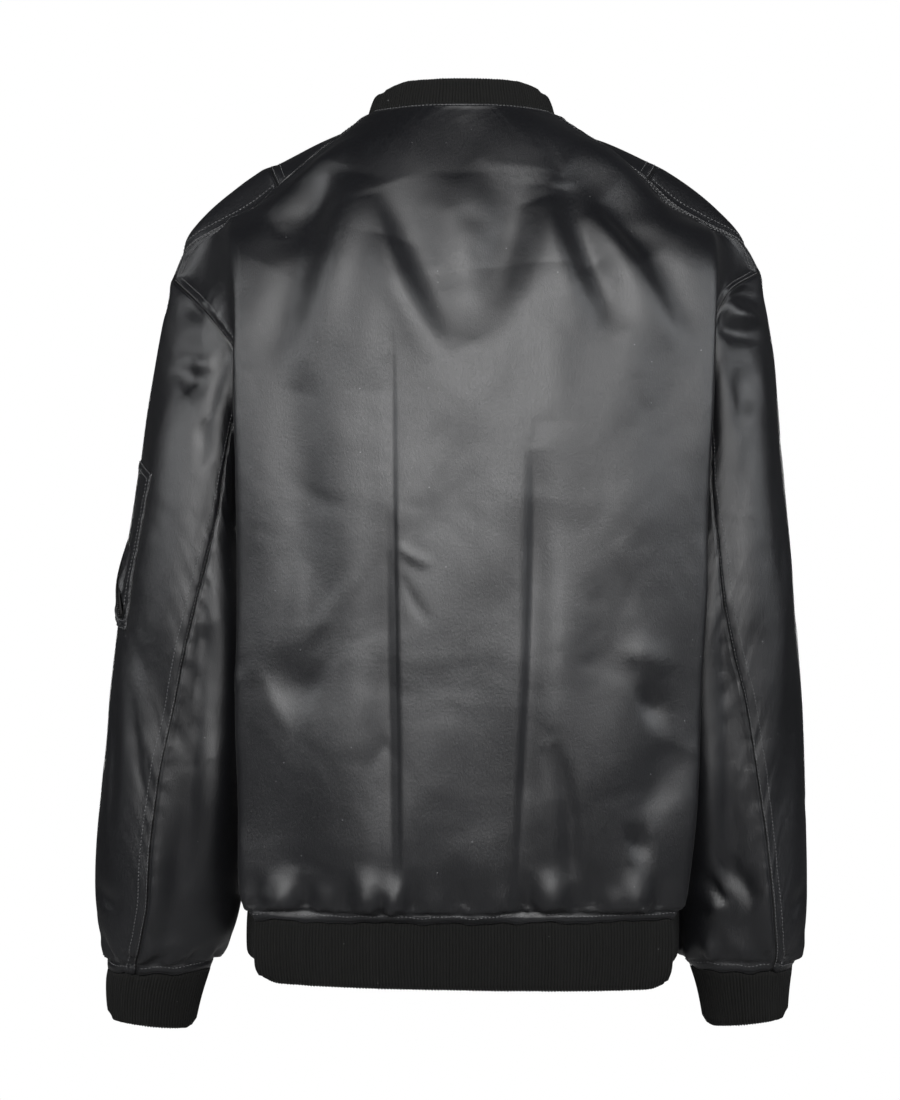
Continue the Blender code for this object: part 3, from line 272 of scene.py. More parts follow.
# %% Rows of the body
COLUMNS_BACK, COLUMNS_FLANK, COLUMNS_FRONT = 62, 21, 78
CREASED, CREASED_BREADTH = 0.32, 0.07       # where the long creases run, as a share of the half back
CHEST_KNOTS = (0, 2, 5, 8, 11)              # parameters of side end, crest, chest, middle and zip edge


def back_half(side):
    """Half the back: y = y_back - (y_back - y_fold) * s^power from the centre to the fold, then a quadratic
    curve with one control point from the fold to the side end."""
    ends = side_ends(side, ARMHOLE_BACK, LEVELS)
    fold = np.stack([side * column(BACK, "fold_" + SIDES[side], LEVELS),
                     column(BACK, "y_fold", LEVELS), column(BACK, "z_fold", LEVELS)], -1)
    y_back, z_back = column(BACK, "y_back", LEVELS), column(BACK, "z_back", LEVELS)
    even = np.linspace(0, 1, 400)
    run = np.cumsum(1 + 2.0 * np.exp(-((even - CREASED) / CREASED_BREADTH) ** 2))      # more columns there
    s = np.interp(np.linspace(run[0], run[-1], COLUMNS_BACK + 1), run, even)[None, :]
    x = fold[:, :1] * s
    y = y_back[:, None] - (y_back[:, None] - fold[:, 1:2]) * s ** BACK_ROUND
    z = z_back[:, None] + (fold[:, 2:3] - z_back[:, None]) * s ** 2
    t = np.linspace(0, 1, COLUMNS_FLANK + 1)[1:][None, :, None]
    outwards = side * (ends - fold)[:, 0]
    sideways = FLANK_UNDER + (FLANK_OUT - FLANK_UNDER) * smooth_step(outwards / 0.01)
    share = np.stack([sideways, np.full(len(ends), FLANK_IN), np.full(len(ends), 0.5)], -1)
    control = fold + (ends - fold) * share
    tucked = smooth_step((LEVELS - UNDERARM + 1.5) / 2) * smooth_step((TIP - LEVELS) / 2)
    control[:, 0] -= side * FLANK_TUCK * tucked
    flank = (1 - t) ** 2 * fold[:, None] + 2 * t * (1 - t) * control[:, None] + t * t * ends[:, None]
    return np.concatenate([np.stack([x, y, z], -1), flank], 1)


def front_half(side):
    """One front: a smooth curve through the side end, the crest, the chest's corner, a middle point and the
    zip edge, read at even steps."""
    ends = side_ends(side, ARMHOLE_FRONT, LEVELS)
    more = np.zeros((len(LEVELS), 2))
    if side < 0:
        more = np.stack([through(CREST_RIGHT["level"], CREST_RIGHT[k], LEVELS)
                         for k in ("outwards", "upwards")], -1)
    value = {name: column(FRONT, name, LEVELS) for name in FRONT}
    crest = np.stack([side * (value["x_crest"] + more[:, 0]), -value["y_crest"],
                      value["z_crest"] + more[:, 1]], -1)
    chest = np.stack([side * value["x_chest"], -value["y_chest"], value["z_chest"]], -1)
    edge = np.stack([np.full(len(LEVELS), side * ZIP_GAP), -value["y_edge"], value["z_edge"]], -1)
    middle = edge + (chest - edge) * np.array([0.5, 0.5 ** BACK_ROUND, 0.25])
    at = np.linspace(0, CHEST_KNOTS[-1], COLUMNS_FRONT + 1)
    points = np.stack([ends, crest, chest, middle, edge], 1)
    rows = [[through(CHEST_KNOTS, row[:, k], at) for k in range(3)] for row in points]
    return np.moveaxis(np.array(rows), 1, -1)


# %% Distances, smoothing and normals of a grid
def runs(grid):
    """Distances along the cloth: down the columns from the first row, and along the rows from the first
    column."""
    down = np.zeros(grid.shape[:2])
    along = np.zeros(grid.shape[:2])
    down[1:] = np.cumsum(np.linalg.norm(np.diff(grid, axis=0), axis=-1), axis=0)
    along[:, 1:] = np.cumsum(np.linalg.norm(np.diff(grid, axis=1), axis=-1), axis=1)
    return down, along


def edge_gaps(grid):
    """Distance of every point from the grid's first and last row and from its first and last column."""
    down, along = runs(grid)
    return down, down[-1:] - down, along, along[:, -1:] - along


def cloth_metres(grid):
    """A panel's own metres: across it from its middle column, and up it from its first row."""
    down, along = runs(grid)
    return along - along[:, along.shape[1] // 2][:, None], -down


def eased(grid, passes_down, passes_across):
    """The grid with its kinks eased: points move to the mean of their neighbours, again and again. Its
    edges stay, and so, more and more towards them, does the cloth beside them."""
    near = np.minimum.reduce(edge_gaps(grid))
    keep = smooth_step(near / 0.03)[..., None]
    g = grid.copy()
    for _ in range(passes_down):
        g[1:-1] = (g[:-2] + 2 * g[1:-1] + g[2:]) / 4
    for _ in range(passes_across):
        g[:, 1:-1] = (g[:, :-2] + 2 * g[:, 1:-1] + g[:, 2:]) / 4
    return grid + (g - grid) * keep


def normals_of(grid):
    """Unit normals: the cross product of the steps along the two directions of the grid."""
    normal = np.cross(np.gradient(grid, axis=1), np.gradient(grid, axis=0))
    normal /= np.maximum(np.linalg.norm(normal, axis=-1, keepdims=True), 1e-12)
    outward = grid - grid.reshape(-1, 3).mean(0)
    return normal if (normal * outward).sum() > 0 else -normal


# %% Base grids of the body
left_half, right_half = back_half(1), back_half(-1)
back_base = eased(np.concatenate([left_half[:, ::-1], right_half[:, 1:]], 1), 40, 3)
front_base = {side: eased(front_half(side), 40, 30) for side in (1, -1)}
print("back grid", back_base.shape[:2], "front grid", front_base[1].shape[:2])

# %% [markdown]
# ## Sleeves as tubes
#
# A sleeve is a tube of slightly slanted ellipses. At its top it follows the armhole exactly, and the
# armhole's own shape dies away over the upper arm. Two seams run down it: the panel between them is the
# under-sleeve, the rest is the upper sleeve, which carries the pocket on the left.

# %% Tables of the sleeves
# Sleeves, ring by ring: outer and inner point (x outwards), middle and half depth, and the angle of the
# back seam and of the front seam, round from the outer side over the back.
SLEEVE_COLUMNS = "z_out x_out z_in x_in y_mid half_y back front"
SLEEVE_LEFT = table(
    SLEEVE_COLUMNS,
    (-0.1435, 0.2382, -0.3450, 0.1660, 0.000, 0.062, 120, 240),
    (-0.1735, 0.2475, -0.3475, 0.1750, -0.003, 0.066, 120, 240),
    (-0.2147, 0.2551, -0.3600, 0.1755, -0.005, 0.069, 119, 240),
    (-0.2624, 0.2633, -0.3780, 0.1735, -0.007, 0.0705, 117, 241),
    (-0.3198, 0.2701, -0.4052, 0.1720, -0.009, 0.071, 109, 242),
    (-0.3750, 0.2763, -0.4353, 0.1715, -0.011, 0.070, 101, 243),
    (-0.4284, 0.2824, -0.4706, 0.1720, -0.013, 0.069, 94, 244),
    (-0.4738, 0.2884, -0.5059, 0.1735, -0.015, 0.068, 90, 245),
    (-0.5484, 0.2967, -0.5616, 0.1760, -0.018, 0.066, 82, 246),
    (-0.6106, 0.3027, -0.6152, 0.1805, -0.020, 0.064, 80, 248),
    (-0.6477, 0.3046, -0.6477, 0.1830, -0.021, 0.060, 80, 250),
    (-0.6751, 0.3028, -0.6751, 0.1880, -0.022, 0.054, 76, 250),
    (-0.6912, 0.3006, -0.6932, 0.1948, -0.022, 0.048, 73, 250),
    (-0.7013, 0.2973, -0.7023, 0.2029, -0.022, 0.039, 70, 250),
    (-0.7099, 0.2931, -0.7099, 0.2100, -0.022, 0.0335, 68, 250),
)
SLEEVE_RIGHT = table(
    SLEEVE_COLUMNS,
    (-0.1380, 0.2435, -0.3450, 0.1660, 0.000, 0.062, 120, 240),
    (-0.1637, 0.2492, -0.3475, 0.1750, -0.003, 0.066, 120, 240),
    (-0.2046, 0.2554, -0.3600, 0.1755, -0.005, 0.069, 119, 240),
    (-0.2472, 0.2596, -0.3780, 0.1735, -0.007, 0.0705, 116, 241),
    (-0.3089, 0.2651, -0.4052, 0.1720, -0.009, 0.071, 110, 242),
    (-0.3723, 0.2712, -0.4353, 0.1715, -0.011, 0.070, 105, 243),
    (-0.4264, 0.2757, -0.4706, 0.1720, -0.013, 0.068, 98, 244),
    (-0.4707, 0.2780, -0.5059, 0.1735, -0.015, 0.067, 90, 245),
    (-0.5401, 0.2799, -0.5616, 0.1760, -0.018, 0.065, 81, 246),
    (-0.6021, 0.2819, -0.6152, 0.1798, -0.020, 0.062, 74, 248),
    (-0.6477, 0.2826, -0.6477, 0.1805, -0.021, 0.059, 69, 250),
    (-0.6751, 0.2821, -0.6751, 0.1800, -0.022, 0.054, 65, 250),
    (-0.6892, 0.2801, -0.6912, 0.1819, -0.022, 0.048, 62, 250),
    (-0.7003, 0.2768, -0.7003, 0.1844, -0.022, 0.040, 59, 250),
    (-0.7084, 0.2718, -0.7084, 0.1890, -0.022, 0.0335, 57, 250),
)
SLEEVES = {1: SLEEVE_LEFT, -1: SLEEVE_RIGHT}
POCKET_ANGLE = 34                 # angle of the line that the pocket's back edge follows
LOOP_FADE = (0, 1, 2, 3, 5)       # sleeve levels over which the armhole's own shape dies away ...
LOOP_SHARE = (1.0, 0.90, 0.65, 0.35, 0.0)       # ... and how much of it is left at each
print("sleeve rings in the tables:", len(SLEEVE_LEFT["back"]))

# %% Rings of the sleeves
SLEEVE_ROWS = 180
SLEEVE_STEPS = {"upper": (-8.0, 8.0, 74), "under": (8.0, 16.0, 40)}    # first and last column, cells
TOP_LEVEL = 14                    # sleeve level of the cuff seam


def ring_points(rows, levels, angles, side):
    """Points of rings: outer and inner point in the X-Z plane, joined by half ellipses front and back."""
    value = {name: column(rows, name, levels)[:, None] for name in rows}
    c, s = np.cos(angles), np.sin(angles)
    x_mid, x_half = (value["x_out"] + value["x_in"]) / 2, (value["x_out"] - value["x_in"]) / 2
    z_mid, z_half = (value["z_out"] + value["z_in"]) / 2, (value["z_out"] - value["z_in"]) / 2
    y = value["y_mid"] + value["half_y"] * s
    return np.stack([side * (x_mid + x_half * c), y, z_mid + z_half * c], -1)


def column_angles(rows, levels, columns):
    """Angle of each column at each level: the seams and the pocket's edge stay on theirs, and between them
    the columns are spread evenly."""
    back, front = column(rows, "back", levels)[:, None], column(rows, "front", levels)[:, None]
    c = (columns % 24)[None, :]
    angle = np.where(c < 3, c / 3 * POCKET_ANGLE, POCKET_ANGLE + (c - 3) / 5 * (back - POCKET_ANGLE))
    angle = np.where(c > 8, back + (c - 8) / 8 * (front - back), angle)
    angle = np.where(c > 16, front + (c - 16) / 8 * (360 - front), angle)
    return np.radians(angle)


def armhole_loop(side, columns):
    """The armhole's points in sleeve columns: tip, down the back, underarm, up the front, tip."""
    c = columns % 24
    behind = seam_line(ARMHOLE_BACK, side, TIP - c / 3)
    before = seam_line(ARMHOLE_FRONT, side, UNDERARM + (c - 12) / 3)
    return np.where((c <= 12)[:, None], behind, before)


def sleeve_part(rows, side, first, last, count):
    """A panel of a sleeve: rings at even steps down it, each between two of the sleeve's columns."""
    columns = np.linspace(first, last, count + 1)
    fine = np.linspace(0, TOP_LEVEL, 700)
    run = run_along(np.stack([column(rows, "x_out", fine), column(rows, "z_out", fine)], -1))
    at = np.linspace(0, run[-1], SLEEVE_ROWS + 1)
    at = np.concatenate([at[:-7], np.linspace(at[-7], at[-1], 13)])         # finer at the cuff
    levels = np.interp(at, run, fine)
    faded = through(LOOP_FADE, LOOP_SHARE, np.minimum(levels, LOOP_FADE[-1]))
    share = np.where(levels < LOOP_FADE[-1], faded, 0)
    base = ring_points(rows, np.zeros(1), column_angles(rows, np.zeros(1), columns), side)
    rings = ring_points(rows, levels, column_angles(rows, levels, columns), side)
    return rings + share[:, None, None] * (armhole_loop(side, columns)[None] - base), levels, columns


sleeve_base, sleeve_places = {}, {}
for side, rows in SLEEVES.items():
    for name, steps in SLEEVE_STEPS.items():
        grid, levels, columns = sleeve_part(rows, side, *steps)
        sleeve_base[side, name] = eased(grid, 12, 0)
        sleeve_places[side, name] = (levels, columns)
print("sleeve grids:", {key: g.shape[:2] for key, g in sleeve_base.items()})

# %% [markdown]
# ## Folds
#
# Satin falls in a few long folds where it hangs from the shoulder blades, and in short gathers where the
# wide body is sewn to the narrow knit. Each fold is a curved line on the cloth with a breadth and a rise:
# above nought it is a ridge, below it a trough. They are listed one by one, no two alike, because a formula
# for all of them would look like a curtain. The small crumples between them come from a seeded scatter.

# %% Tables of folds
# Body folds, back (face 1) and front (face -1): (x, z) of one end, a middle point and the other end.
BODY_FOLDS = table(
    "face x1 z1 x2 z2 x3 z3 breadth rise right",
    (1, 0.160, -0.100, 0.121, -0.064, 0.086, -0.038, 0.013, 0.0062, 0.55),
    (1, -0.088, -0.038, -0.126, -0.065, -0.168, -0.104, 0.013, 0.0062, 1),
    (1, 0.036, -0.070, 0.002, -0.062, -0.034, -0.070, 0.022, 0.0010, 1),
    (1, 0.104, -0.072, 0.130, -0.096, 0.160, -0.142, 0.017, -0.0070, 1),
    (1, -0.078, -0.064, -0.112, -0.092, -0.150, -0.136, 0.018, -0.0070, 1),
    (1, 0.104, -0.055, 0.126, -0.134, 0.157, -0.236, 0.022, -0.0092, 1),
    (1, 0.084, -0.066, 0.104, -0.142, 0.134, -0.246, 0.020, 0.0076, 1),
    (1, 0.136, -0.215, 0.126, -0.310, 0.120, -0.430, 0.020, -0.0042, 1),
    (1, 0.057, -0.075, 0.033, -0.139, -0.002, -0.212, 0.020, -0.0079, 1),
    (1, 0.074, -0.086, 0.051, -0.149, 0.015, -0.221, 0.017, 0.0067, 0.6),
    (1, 0.063, -0.120, 0.071, -0.170, 0.080, -0.245, 0.024, 0.0040, 1),
    (1, -0.048, -0.061, -0.035, -0.127, -0.006, -0.210, 0.022, -0.0070, 1),
    (1, -0.068, -0.077, -0.055, -0.138, -0.027, -0.218, 0.019, 0.0060, 1),
    (1, -0.079, -0.073, -0.098, -0.132, -0.125, -0.200, 0.017, -0.0095, 0.8),
    (1, -0.061, -0.087, -0.080, -0.141, -0.106, -0.205, 0.018, 0.0069, 0.7),
    (1, -0.113, -0.080, -0.145, -0.126, -0.185, -0.202, 0.017, -0.0077, 1),
    (1, -0.098, -0.092, -0.129, -0.137, -0.168, -0.210, 0.016, 0.0059, 0.7),
    (1, -0.067, -0.142, -0.068, -0.195, -0.072, -0.270, 0.022, 0.0036, 1),
    (1, -0.104, -0.140, -0.120, -0.175, -0.137, -0.235, 0.016, 0.0030, 1),
    (1, 0.002, -0.068, 0.000, -0.107, -0.004, -0.149, 0.026, 0.0036, 1),
    (1, 0.007, -0.099, -0.005, -0.107, -0.022, -0.104, 0.009, -0.0010, 1),
    (1, 0.018, -0.143, 0.007, -0.151, -0.009, -0.149, 0.009, -0.0006, 1),
    (1, 0.156, -0.099, 0.150, -0.107, 0.146, -0.115, 0.005, -0.0010, 1),
    (1, 0.055, -0.204, 0.053, -0.405, 0.049, -0.646, 0.006, -0.0028, 0.25),
    (1, 0.062, -0.300, 0.060, -0.470, 0.056, -0.652, 0.015, -0.0062, 0.4),
    (1, -0.041, -0.647, -0.052, -0.436, -0.053, -0.283, 0.015, -0.0060, 0.3),
    (1, -0.068, -0.512, -0.083, -0.574, -0.085, -0.647, 0.010, -0.0046, 0.6),
    (1, 0.052, -0.362, 0.039, -0.371, 0.025, -0.378, 0.004, 0.0014, 1),
    (1, 0.049, -0.383, 0.039, -0.405, 0.025, -0.424, 0.004, -0.0010, 1),
    (1, 0.127, -0.444, 0.104, -0.413, 0.080, -0.382, 0.006, 0.0012, 1),
    (1, 0.127, -0.374, 0.129, -0.398, 0.131, -0.421, 0.006, 0.0010, 1),
    (1, 0.152, -0.477, 0.131, -0.472, 0.110, -0.477, 0.022, -0.0046, 1),
    (1, -0.123, -0.453, -0.141, -0.448, -0.158, -0.466, 0.012, 0.0020, 1),
    (1, -0.137, -0.492, -0.148, -0.487, -0.158, -0.483, 0.014, -0.0040, 1),
    (1, -0.168, -0.518, -0.152, -0.549, -0.129, -0.580, 0.018, -0.0040, 1),
    (1, -0.127, -0.598, -0.138, -0.595, -0.148, -0.593, 0.014, -0.0042, 1),
    (1, 0.131, -0.607, 0.130, -0.626, 0.131, -0.642, 0.003, -0.0010, 1),
    (-1, 0.070, -0.100, 0.110, -0.170, 0.140, -0.270, 0.018, -0.0055, 1),
    (-1, 0.045, -0.130, 0.060, -0.220, 0.066, -0.330, 0.020, -0.0040, 1),
    (-1, 0.110, -0.110, 0.150, -0.190, 0.160, -0.260, 0.013, -0.0045, 1),
    (-1, -0.072, -0.105, -0.105, -0.180, -0.150, -0.265, 0.017, -0.0055, 1),
    (-1, -0.040, -0.140, -0.070, -0.230, -0.080, -0.350, 0.021, -0.0040, 1),
    (-1, -0.115, -0.115, -0.148, -0.185, -0.165, -0.245, 0.013, -0.0045, 1),
    (-1, 0.090, -0.380, 0.086, -0.500, 0.080, -0.645, 0.013, -0.0035, 1),
    (-1, 0.135, -0.420, 0.130, -0.530, 0.128, -0.645, 0.014, -0.0030, 1),
    (-1, -0.060, -0.360, -0.066, -0.500, -0.060, -0.645, 0.012, -0.0035, 1),
    (-1, -0.120, -0.400, -0.124, -0.520, -0.118, -0.645, 0.015, -0.0030, 1),
    (-1, 0.040, -0.480, 0.046, -0.560, 0.040, -0.645, 0.010, -0.0020, 1),
    (-1, -0.095, -0.330, -0.080, -0.360, -0.050, -0.380, 0.006, 0.0012, 1),
    (-1, 0.120, -0.300, 0.100, -0.340, 0.075, -0.360, 0.007, 0.0012, 1),
)
# Sleeve folds, left (side 1) and right (side -1): (angle round from the outer line over the back, z).
SLEEVE_FOLDS = table(
    "side a1 z1 a2 z2 a3 z3 breadth rise",
    (1, 62, -0.200, 73, -0.230, 84, -0.262, 0.014, -0.0040),
    (1, 70, -0.258, 84, -0.280, 95, -0.300, 0.013, -0.0035),
    (1, 20, -0.215, 32, -0.226, 45, -0.240, 0.011, -0.0030),
    (1, 30, -0.480, 38, -0.540, 42, -0.600, 0.010, -0.0025),
    (1, 75, -0.620, 100, -0.645, 128, -0.665, 0.012, 0.0010),
    (1, 20, -0.640, 40, -0.650, 60, -0.655, 0.010, -0.0025),
    (-1, 22, -0.170, 46, -0.170, 70, -0.172, 0.009, 0.0040),
    (-1, 25, -0.185, 50, -0.188, 75, -0.192, 0.009, -0.0045),
    (-1, 40, -0.235, 60, -0.250, 80, -0.270, 0.014, -0.0030),
    (-1, 128, -0.600, 102, -0.630, 76, -0.652, 0.010, -0.0035),
    (-1, 120, -0.635, 100, -0.655, 80, -0.670, 0.010, 0.0010),
    (-1, 15, -0.640, 32, -0.652, 50, -0.660, 0.010, -0.0025),
    (1, 300, -0.250, 316, -0.232, 330, -0.210, 0.013, -0.0035),
    (-1, 300, -0.255, 318, -0.232, 335, -0.205, 0.013, -0.0035),
    (1, 285, -0.640, 308, -0.650, 330, -0.655, 0.011, -0.0030),
    (-1, 290, -0.635, 312, -0.648, 335, -0.655, 0.011, -0.0030),
    (1, 200, -0.440, 188, -0.455, 172, -0.462, 0.012, -0.0030),
    (-1, 196, -0.430, 184, -0.448, 168, -0.455, 0.012, -0.0030),
    (1, 268, -0.420, 284, -0.436, 300, -0.440, 0.013, -0.0030),
    (-1, 264, -0.425, 282, -0.440, 298, -0.442, 0.013, -0.0030),
)

# Sleeve creases on the back, left (side 1) and right (side -1): (x, z) of three points, as on the body.
SLEEVE_CREASES = table(
    "side x1 z1 x2 z2 x3 z3 breadth rise right",
    (1, 0.228, -0.166, 0.214, -0.170, 0.199, -0.175, 0.010, -0.0024, 1),
    (1, 0.232, -0.200, 0.221, -0.203, 0.208, -0.201, 0.011, -0.0022, 1),
    (1, 0.229, -0.236, 0.215, -0.231, 0.197, -0.233, 0.013, -0.0026, 1),
    (1, 0.222, -0.217, 0.211, -0.217, 0.200, -0.215, 0.007, 0.0020, 1),
    (1, 0.266, -0.482, 0.261, -0.535, 0.252, -0.592, 0.0045, -0.0018, 0.6),
    (1, 0.252, -0.439, 0.244, -0.487, 0.239, -0.535, 0.012, -0.0024, 1),
    (1, 0.207, -0.423, 0.200, -0.471, 0.197, -0.535, 0.012, -0.0034, 1),
    (-1, -0.209, -0.166, -0.226, -0.158, -0.243, -0.167, 0.008, -0.0048, 0.7),
    (-1, -0.211, -0.184, -0.227, -0.177, -0.240, -0.184, 0.007, 0.0046, 0.8),
    (-1, -0.209, -0.198, -0.226, -0.193, -0.240, -0.198, 0.007, -0.0036, 1),
    (-1, -0.211, -0.236, -0.226, -0.232, -0.242, -0.230, 0.013, -0.0026, 1),
    (-1, -0.186, -0.626, -0.200, -0.642, -0.213, -0.656, 0.006, -0.0036, 0.6),
    (-1, -0.193, -0.664, -0.202, -0.660, -0.213, -0.664, 0.009, 0.0036, 1),
    (-1, -0.232, -0.480, -0.236, -0.540, -0.240, -0.610, 0.010, -0.0026, 0.7),
)
print("folds placed by hand:", len(BODY_FOLDS["face"]), "on the body,",
      len(SLEEVE_FOLDS["side"]) + len(SLEEVE_CREASES["side"]), "on the sleeves")


# %% Height of folds
def fold_field(u, v, folds):
    """Sum over the folds of rise * exp(-(distance to the fold's line / breadth)^2), fading at its ends. The
    line is the parabola through its three points, taken as sixteen straight steps. On the right of the
    line, as seen from its first point, the breadth is multiplied by the fold's own side factor, because
    many folds of satin are sharp on one side."""
    total = np.zeros_like(u)
    t = np.linspace(0, 1, 17)
    for a, b, c, d, e, f, breadth, rise, right in folds:
        pu = (1 - t) * (1 - 2 * t) * a + 4 * t * (1 - t) * c + t * (2 * t - 1) * e
        pv = (1 - t) * (1 - 2 * t) * b + 4 * t * (1 - t) * d + t * (2 * t - 1) * f
        far = 2.6 * breadth
        inside = (u > pu.min() - far) & (u < pu.max() + far) & (v > pv.min() - far) & (v < pv.max() + far)
        x, y = u[inside], v[inside]
        nearest, place, hand = np.full(x.shape, 9.0), np.zeros(x.shape), np.zeros(x.shape)
        for k in range(16):
            du, dv = pu[k + 1] - pu[k], pv[k + 1] - pv[k]
            s = np.clip(((x - pu[k]) * du + (y - pv[k]) * dv) / (du * du + dv * dv), 0, 1)
            gap = np.hypot(x - pu[k] - s * du, y - pv[k] - s * dv)
            closer = gap < nearest
            nearest, place = np.where(closer, gap, nearest), np.where(closer, (k + s) / 16, place)
            hand = np.where(closer, (x - pu[k]) * dv - (y - pv[k]) * du, hand)
        fade = np.sin(np.pi * np.clip(place, 0.02, 0.98)) ** 0.85
        reach = breadth * np.where(hand > 0, right, 1.0)
        total[inside] += rise * fade * np.exp(-(nearest / reach) ** 2)
    return total


def folds_of(rows, which):
    """The rows of a table of folds that belong to one face or side, without the column that says so."""
    values = np.stack(list(rows.values()), -1)
    return values[values[:, 0] == which][:, 1:]


# %% Seeded unrest
def crumples(u, v, seed, per_metre2, lean):
    """A seeded scatter of small creases: 16 to 80 mm long, 4 to 12 mm broad and up to 1 mm high or deep,
    leaning round a direction given in degrees."""
    rng = np.random.default_rng(seed)
    low_u, high_u, low_v, high_v = u.min(), u.max(), v.min(), v.max()
    count = int(per_metre2 * (high_u - low_u) * (high_v - low_v))
    turn = np.radians(rng.normal(lean, 38, count))
    half = rng.uniform(0.008, 0.040, count)
    bend = rng.uniform(-0.25, 0.25, count) * half
    cu, cv = rng.uniform(low_u, high_u, count), rng.uniform(low_v, high_v, count)
    du, dv = half * np.cos(turn), half * np.sin(turn)
    size = rng.uniform(0.0040, 0.0120, count)
    height = rng.uniform(-1, 1, count) * size * 0.09
    return fold_field(u, v, np.stack([cu - du, cv - dv, cu - dv / half * bend, cv + du / half * bend,
                                      cu + du, cv + dv, size, height, rng.uniform(0.45, 1.0, count)], -1))


def waves(s, seed, shortest, longest):
    """An irregular wave between about -1 and 1: five sines with seeded lengths and starts, added up."""
    rng = np.random.default_rng(seed)
    length = np.geomspace(shortest, longest, 5) * rng.uniform(0.85, 1.15, 5)
    start = rng.uniform(0, 2 * np.pi, 5)
    parts = [np.sin(2 * np.pi * s / one + begin) for one, begin in zip(length, start)]
    return sum(parts) / 2.4


def swells(u, v, seed):
    """Low unevenness of a hanging panel: eight long waves, 60 to 190 mm apart, most of them upright."""
    rng = np.random.default_rng(seed)
    total = np.zeros_like(u)
    for length in np.geomspace(0.06, 0.19, 8):
        turn, start = rng.normal(0, 0.4), rng.uniform(0, 2 * np.pi)
        total += length * 0.0050 * np.sin(2 * np.pi * (u * np.cos(turn) + v * np.sin(turn)) / length + start)
    return total


# %% Gathers and seams
def gathers(place, away, rows):
    """Short folds that run out of a gathered seam: rise * exp(-((place - x) / breadth)^2), swelling within a
    quarter of their height from the seam and dying away after it."""
    total = np.zeros_like(place)
    for x, breadth, rise, high in rows:
        t = away / high
        total += rise * np.exp(-((place - x) / breadth) ** 2) * smooth_step(t / 0.25) * (
            1 - smooth_step((t - 0.25) / 0.75))
    return total


def uneven_gathers(first, last, pitch, rise, high, seed):
    """Rows for gathers: puffs and dents in turn at uneven steps, no two alike."""
    rng = np.random.default_rng(seed)
    steps = pitch * rng.uniform(0.6, 1.5, int((last - first) / pitch * 1.3) + 2)
    x = first + np.cumsum(steps)
    x = x[x < last]
    sign = np.where(np.arange(len(x)) % 2 == 0, 1.0, -0.75)
    breadth, size = pitch * rng.uniform(0.32, 0.55, len(x)), rise * rng.uniform(0.45, 1.25, len(x))
    return np.stack([x, breadth, sign * size, high * rng.uniform(0.6, 1.4, len(x))], -1)


def seam_relief(gap, run, seed, lap):
    """Cloth beside a sewn seam: raised by 0.5 mm over the turned-in edge (lap wide, none where it is
    nought) and drawn into puckers that die away over 15 mm."""
    raised = 0.0
    if lap:
        raised = 0.0005 * smooth_step(gap / 0.0024) * (1 - smooth_step((gap - lap) / 0.003))
    pucker = waves(run, seed, 0.011, 0.046) * smooth_step(gap / 0.003) * np.exp(-gap / 0.010)
    return raised * (1 + 0.3 * waves(run, seed + 1, 0.014, 0.05)) + 0.0009 * pucker


# %% [markdown]
# ## The dressed panels
#
# Each panel gets its folds, its crumples, its gathers and the relief of its seams, all as heights along
# the cloth's normals. At the panel's edges they die away, because two panels share those points. The two
# maps each panel keeps, its metres along and down the cloth and its distance from the nearest seam, later
# tell the materials where the threads run and where the cloth is sewn.

# %% Heights of the back and the fronts
FLANGE = 1.0              # stands for an edge that is sewn to a band of knit
GATHER_START = 0.005      # where gathers begin over the seam
# Gathers of the back over the hem, from left to right: x, breadth, rise, height over the seam.
HEM_GATHERS = (
    (0.163, 0.006, -0.0040, 0.040), (0.1435, 0.0125, 0.0072, 0.044), (0.124, 0.006, -0.0045, 0.036),
    (0.108, 0.009, 0.0028, 0.030), (0.092, 0.007, -0.0030, 0.044), (0.0755, 0.0115, 0.0074, 0.047),
    (0.0635, 0.0035, -0.0030, 0.026), (0.0535, 0.009, 0.0066, 0.040), (0.040, 0.006, -0.0036, 0.044),
    (0.022, 0.010, 0.0020, 0.030), (0.004, 0.009, -0.0034, 0.056), (-0.013, 0.008, -0.0020, 0.048),
    (-0.030, 0.010, 0.0026, 0.034), (-0.050, 0.006, -0.0034, 0.040), (-0.068, 0.0120, 0.0070, 0.045),
    (-0.087, 0.006, -0.0028, 0.030), (-0.100, 0.008, -0.0036, 0.050), (-0.116, 0.008, 0.0030, 0.030),
    (-0.134, 0.0115, 0.0068, 0.044), (-0.153, 0.006, -0.0042, 0.040),
)


def flange_relief(gap, run, seed, size=1.0):
    """Cloth sewn to a band of knit: its last 6 mm stand proud of the band, a row of stitches draws it in over
    them, and small puckers sit above the stitches."""
    proud = 0.0013 * (1 - smooth_step((gap - 0.0040) / 0.0024))
    drawn = -0.0014 * np.exp(-((gap - FLANGE_ROW) / 0.0016) ** 2) * (1 + 0.3 * waves(run, seed, 0.008, 0.03))
    puckers = 0.0013 * waves(run, seed + 1, 0.006, 0.022) * np.exp(-((gap - 0.0105) / 0.0042) ** 2)
    return size * (proud + drawn + puckers)


def hung_edge(grid, row, seed):
    """The grid with its last row before a band drawn down over the knit by 0.5 to 3 mm, unevenly."""
    run = runs(grid)[1][row]
    moved = grid.copy()
    moved[row, :, 2] -= 0.0016 + 0.0011 * waves(run, seed, 0.02, 0.11)
    return moved


def fading(gap, reach):
    """0 at an edge, 1 from a distance on."""
    return smooth_step(gap / reach)


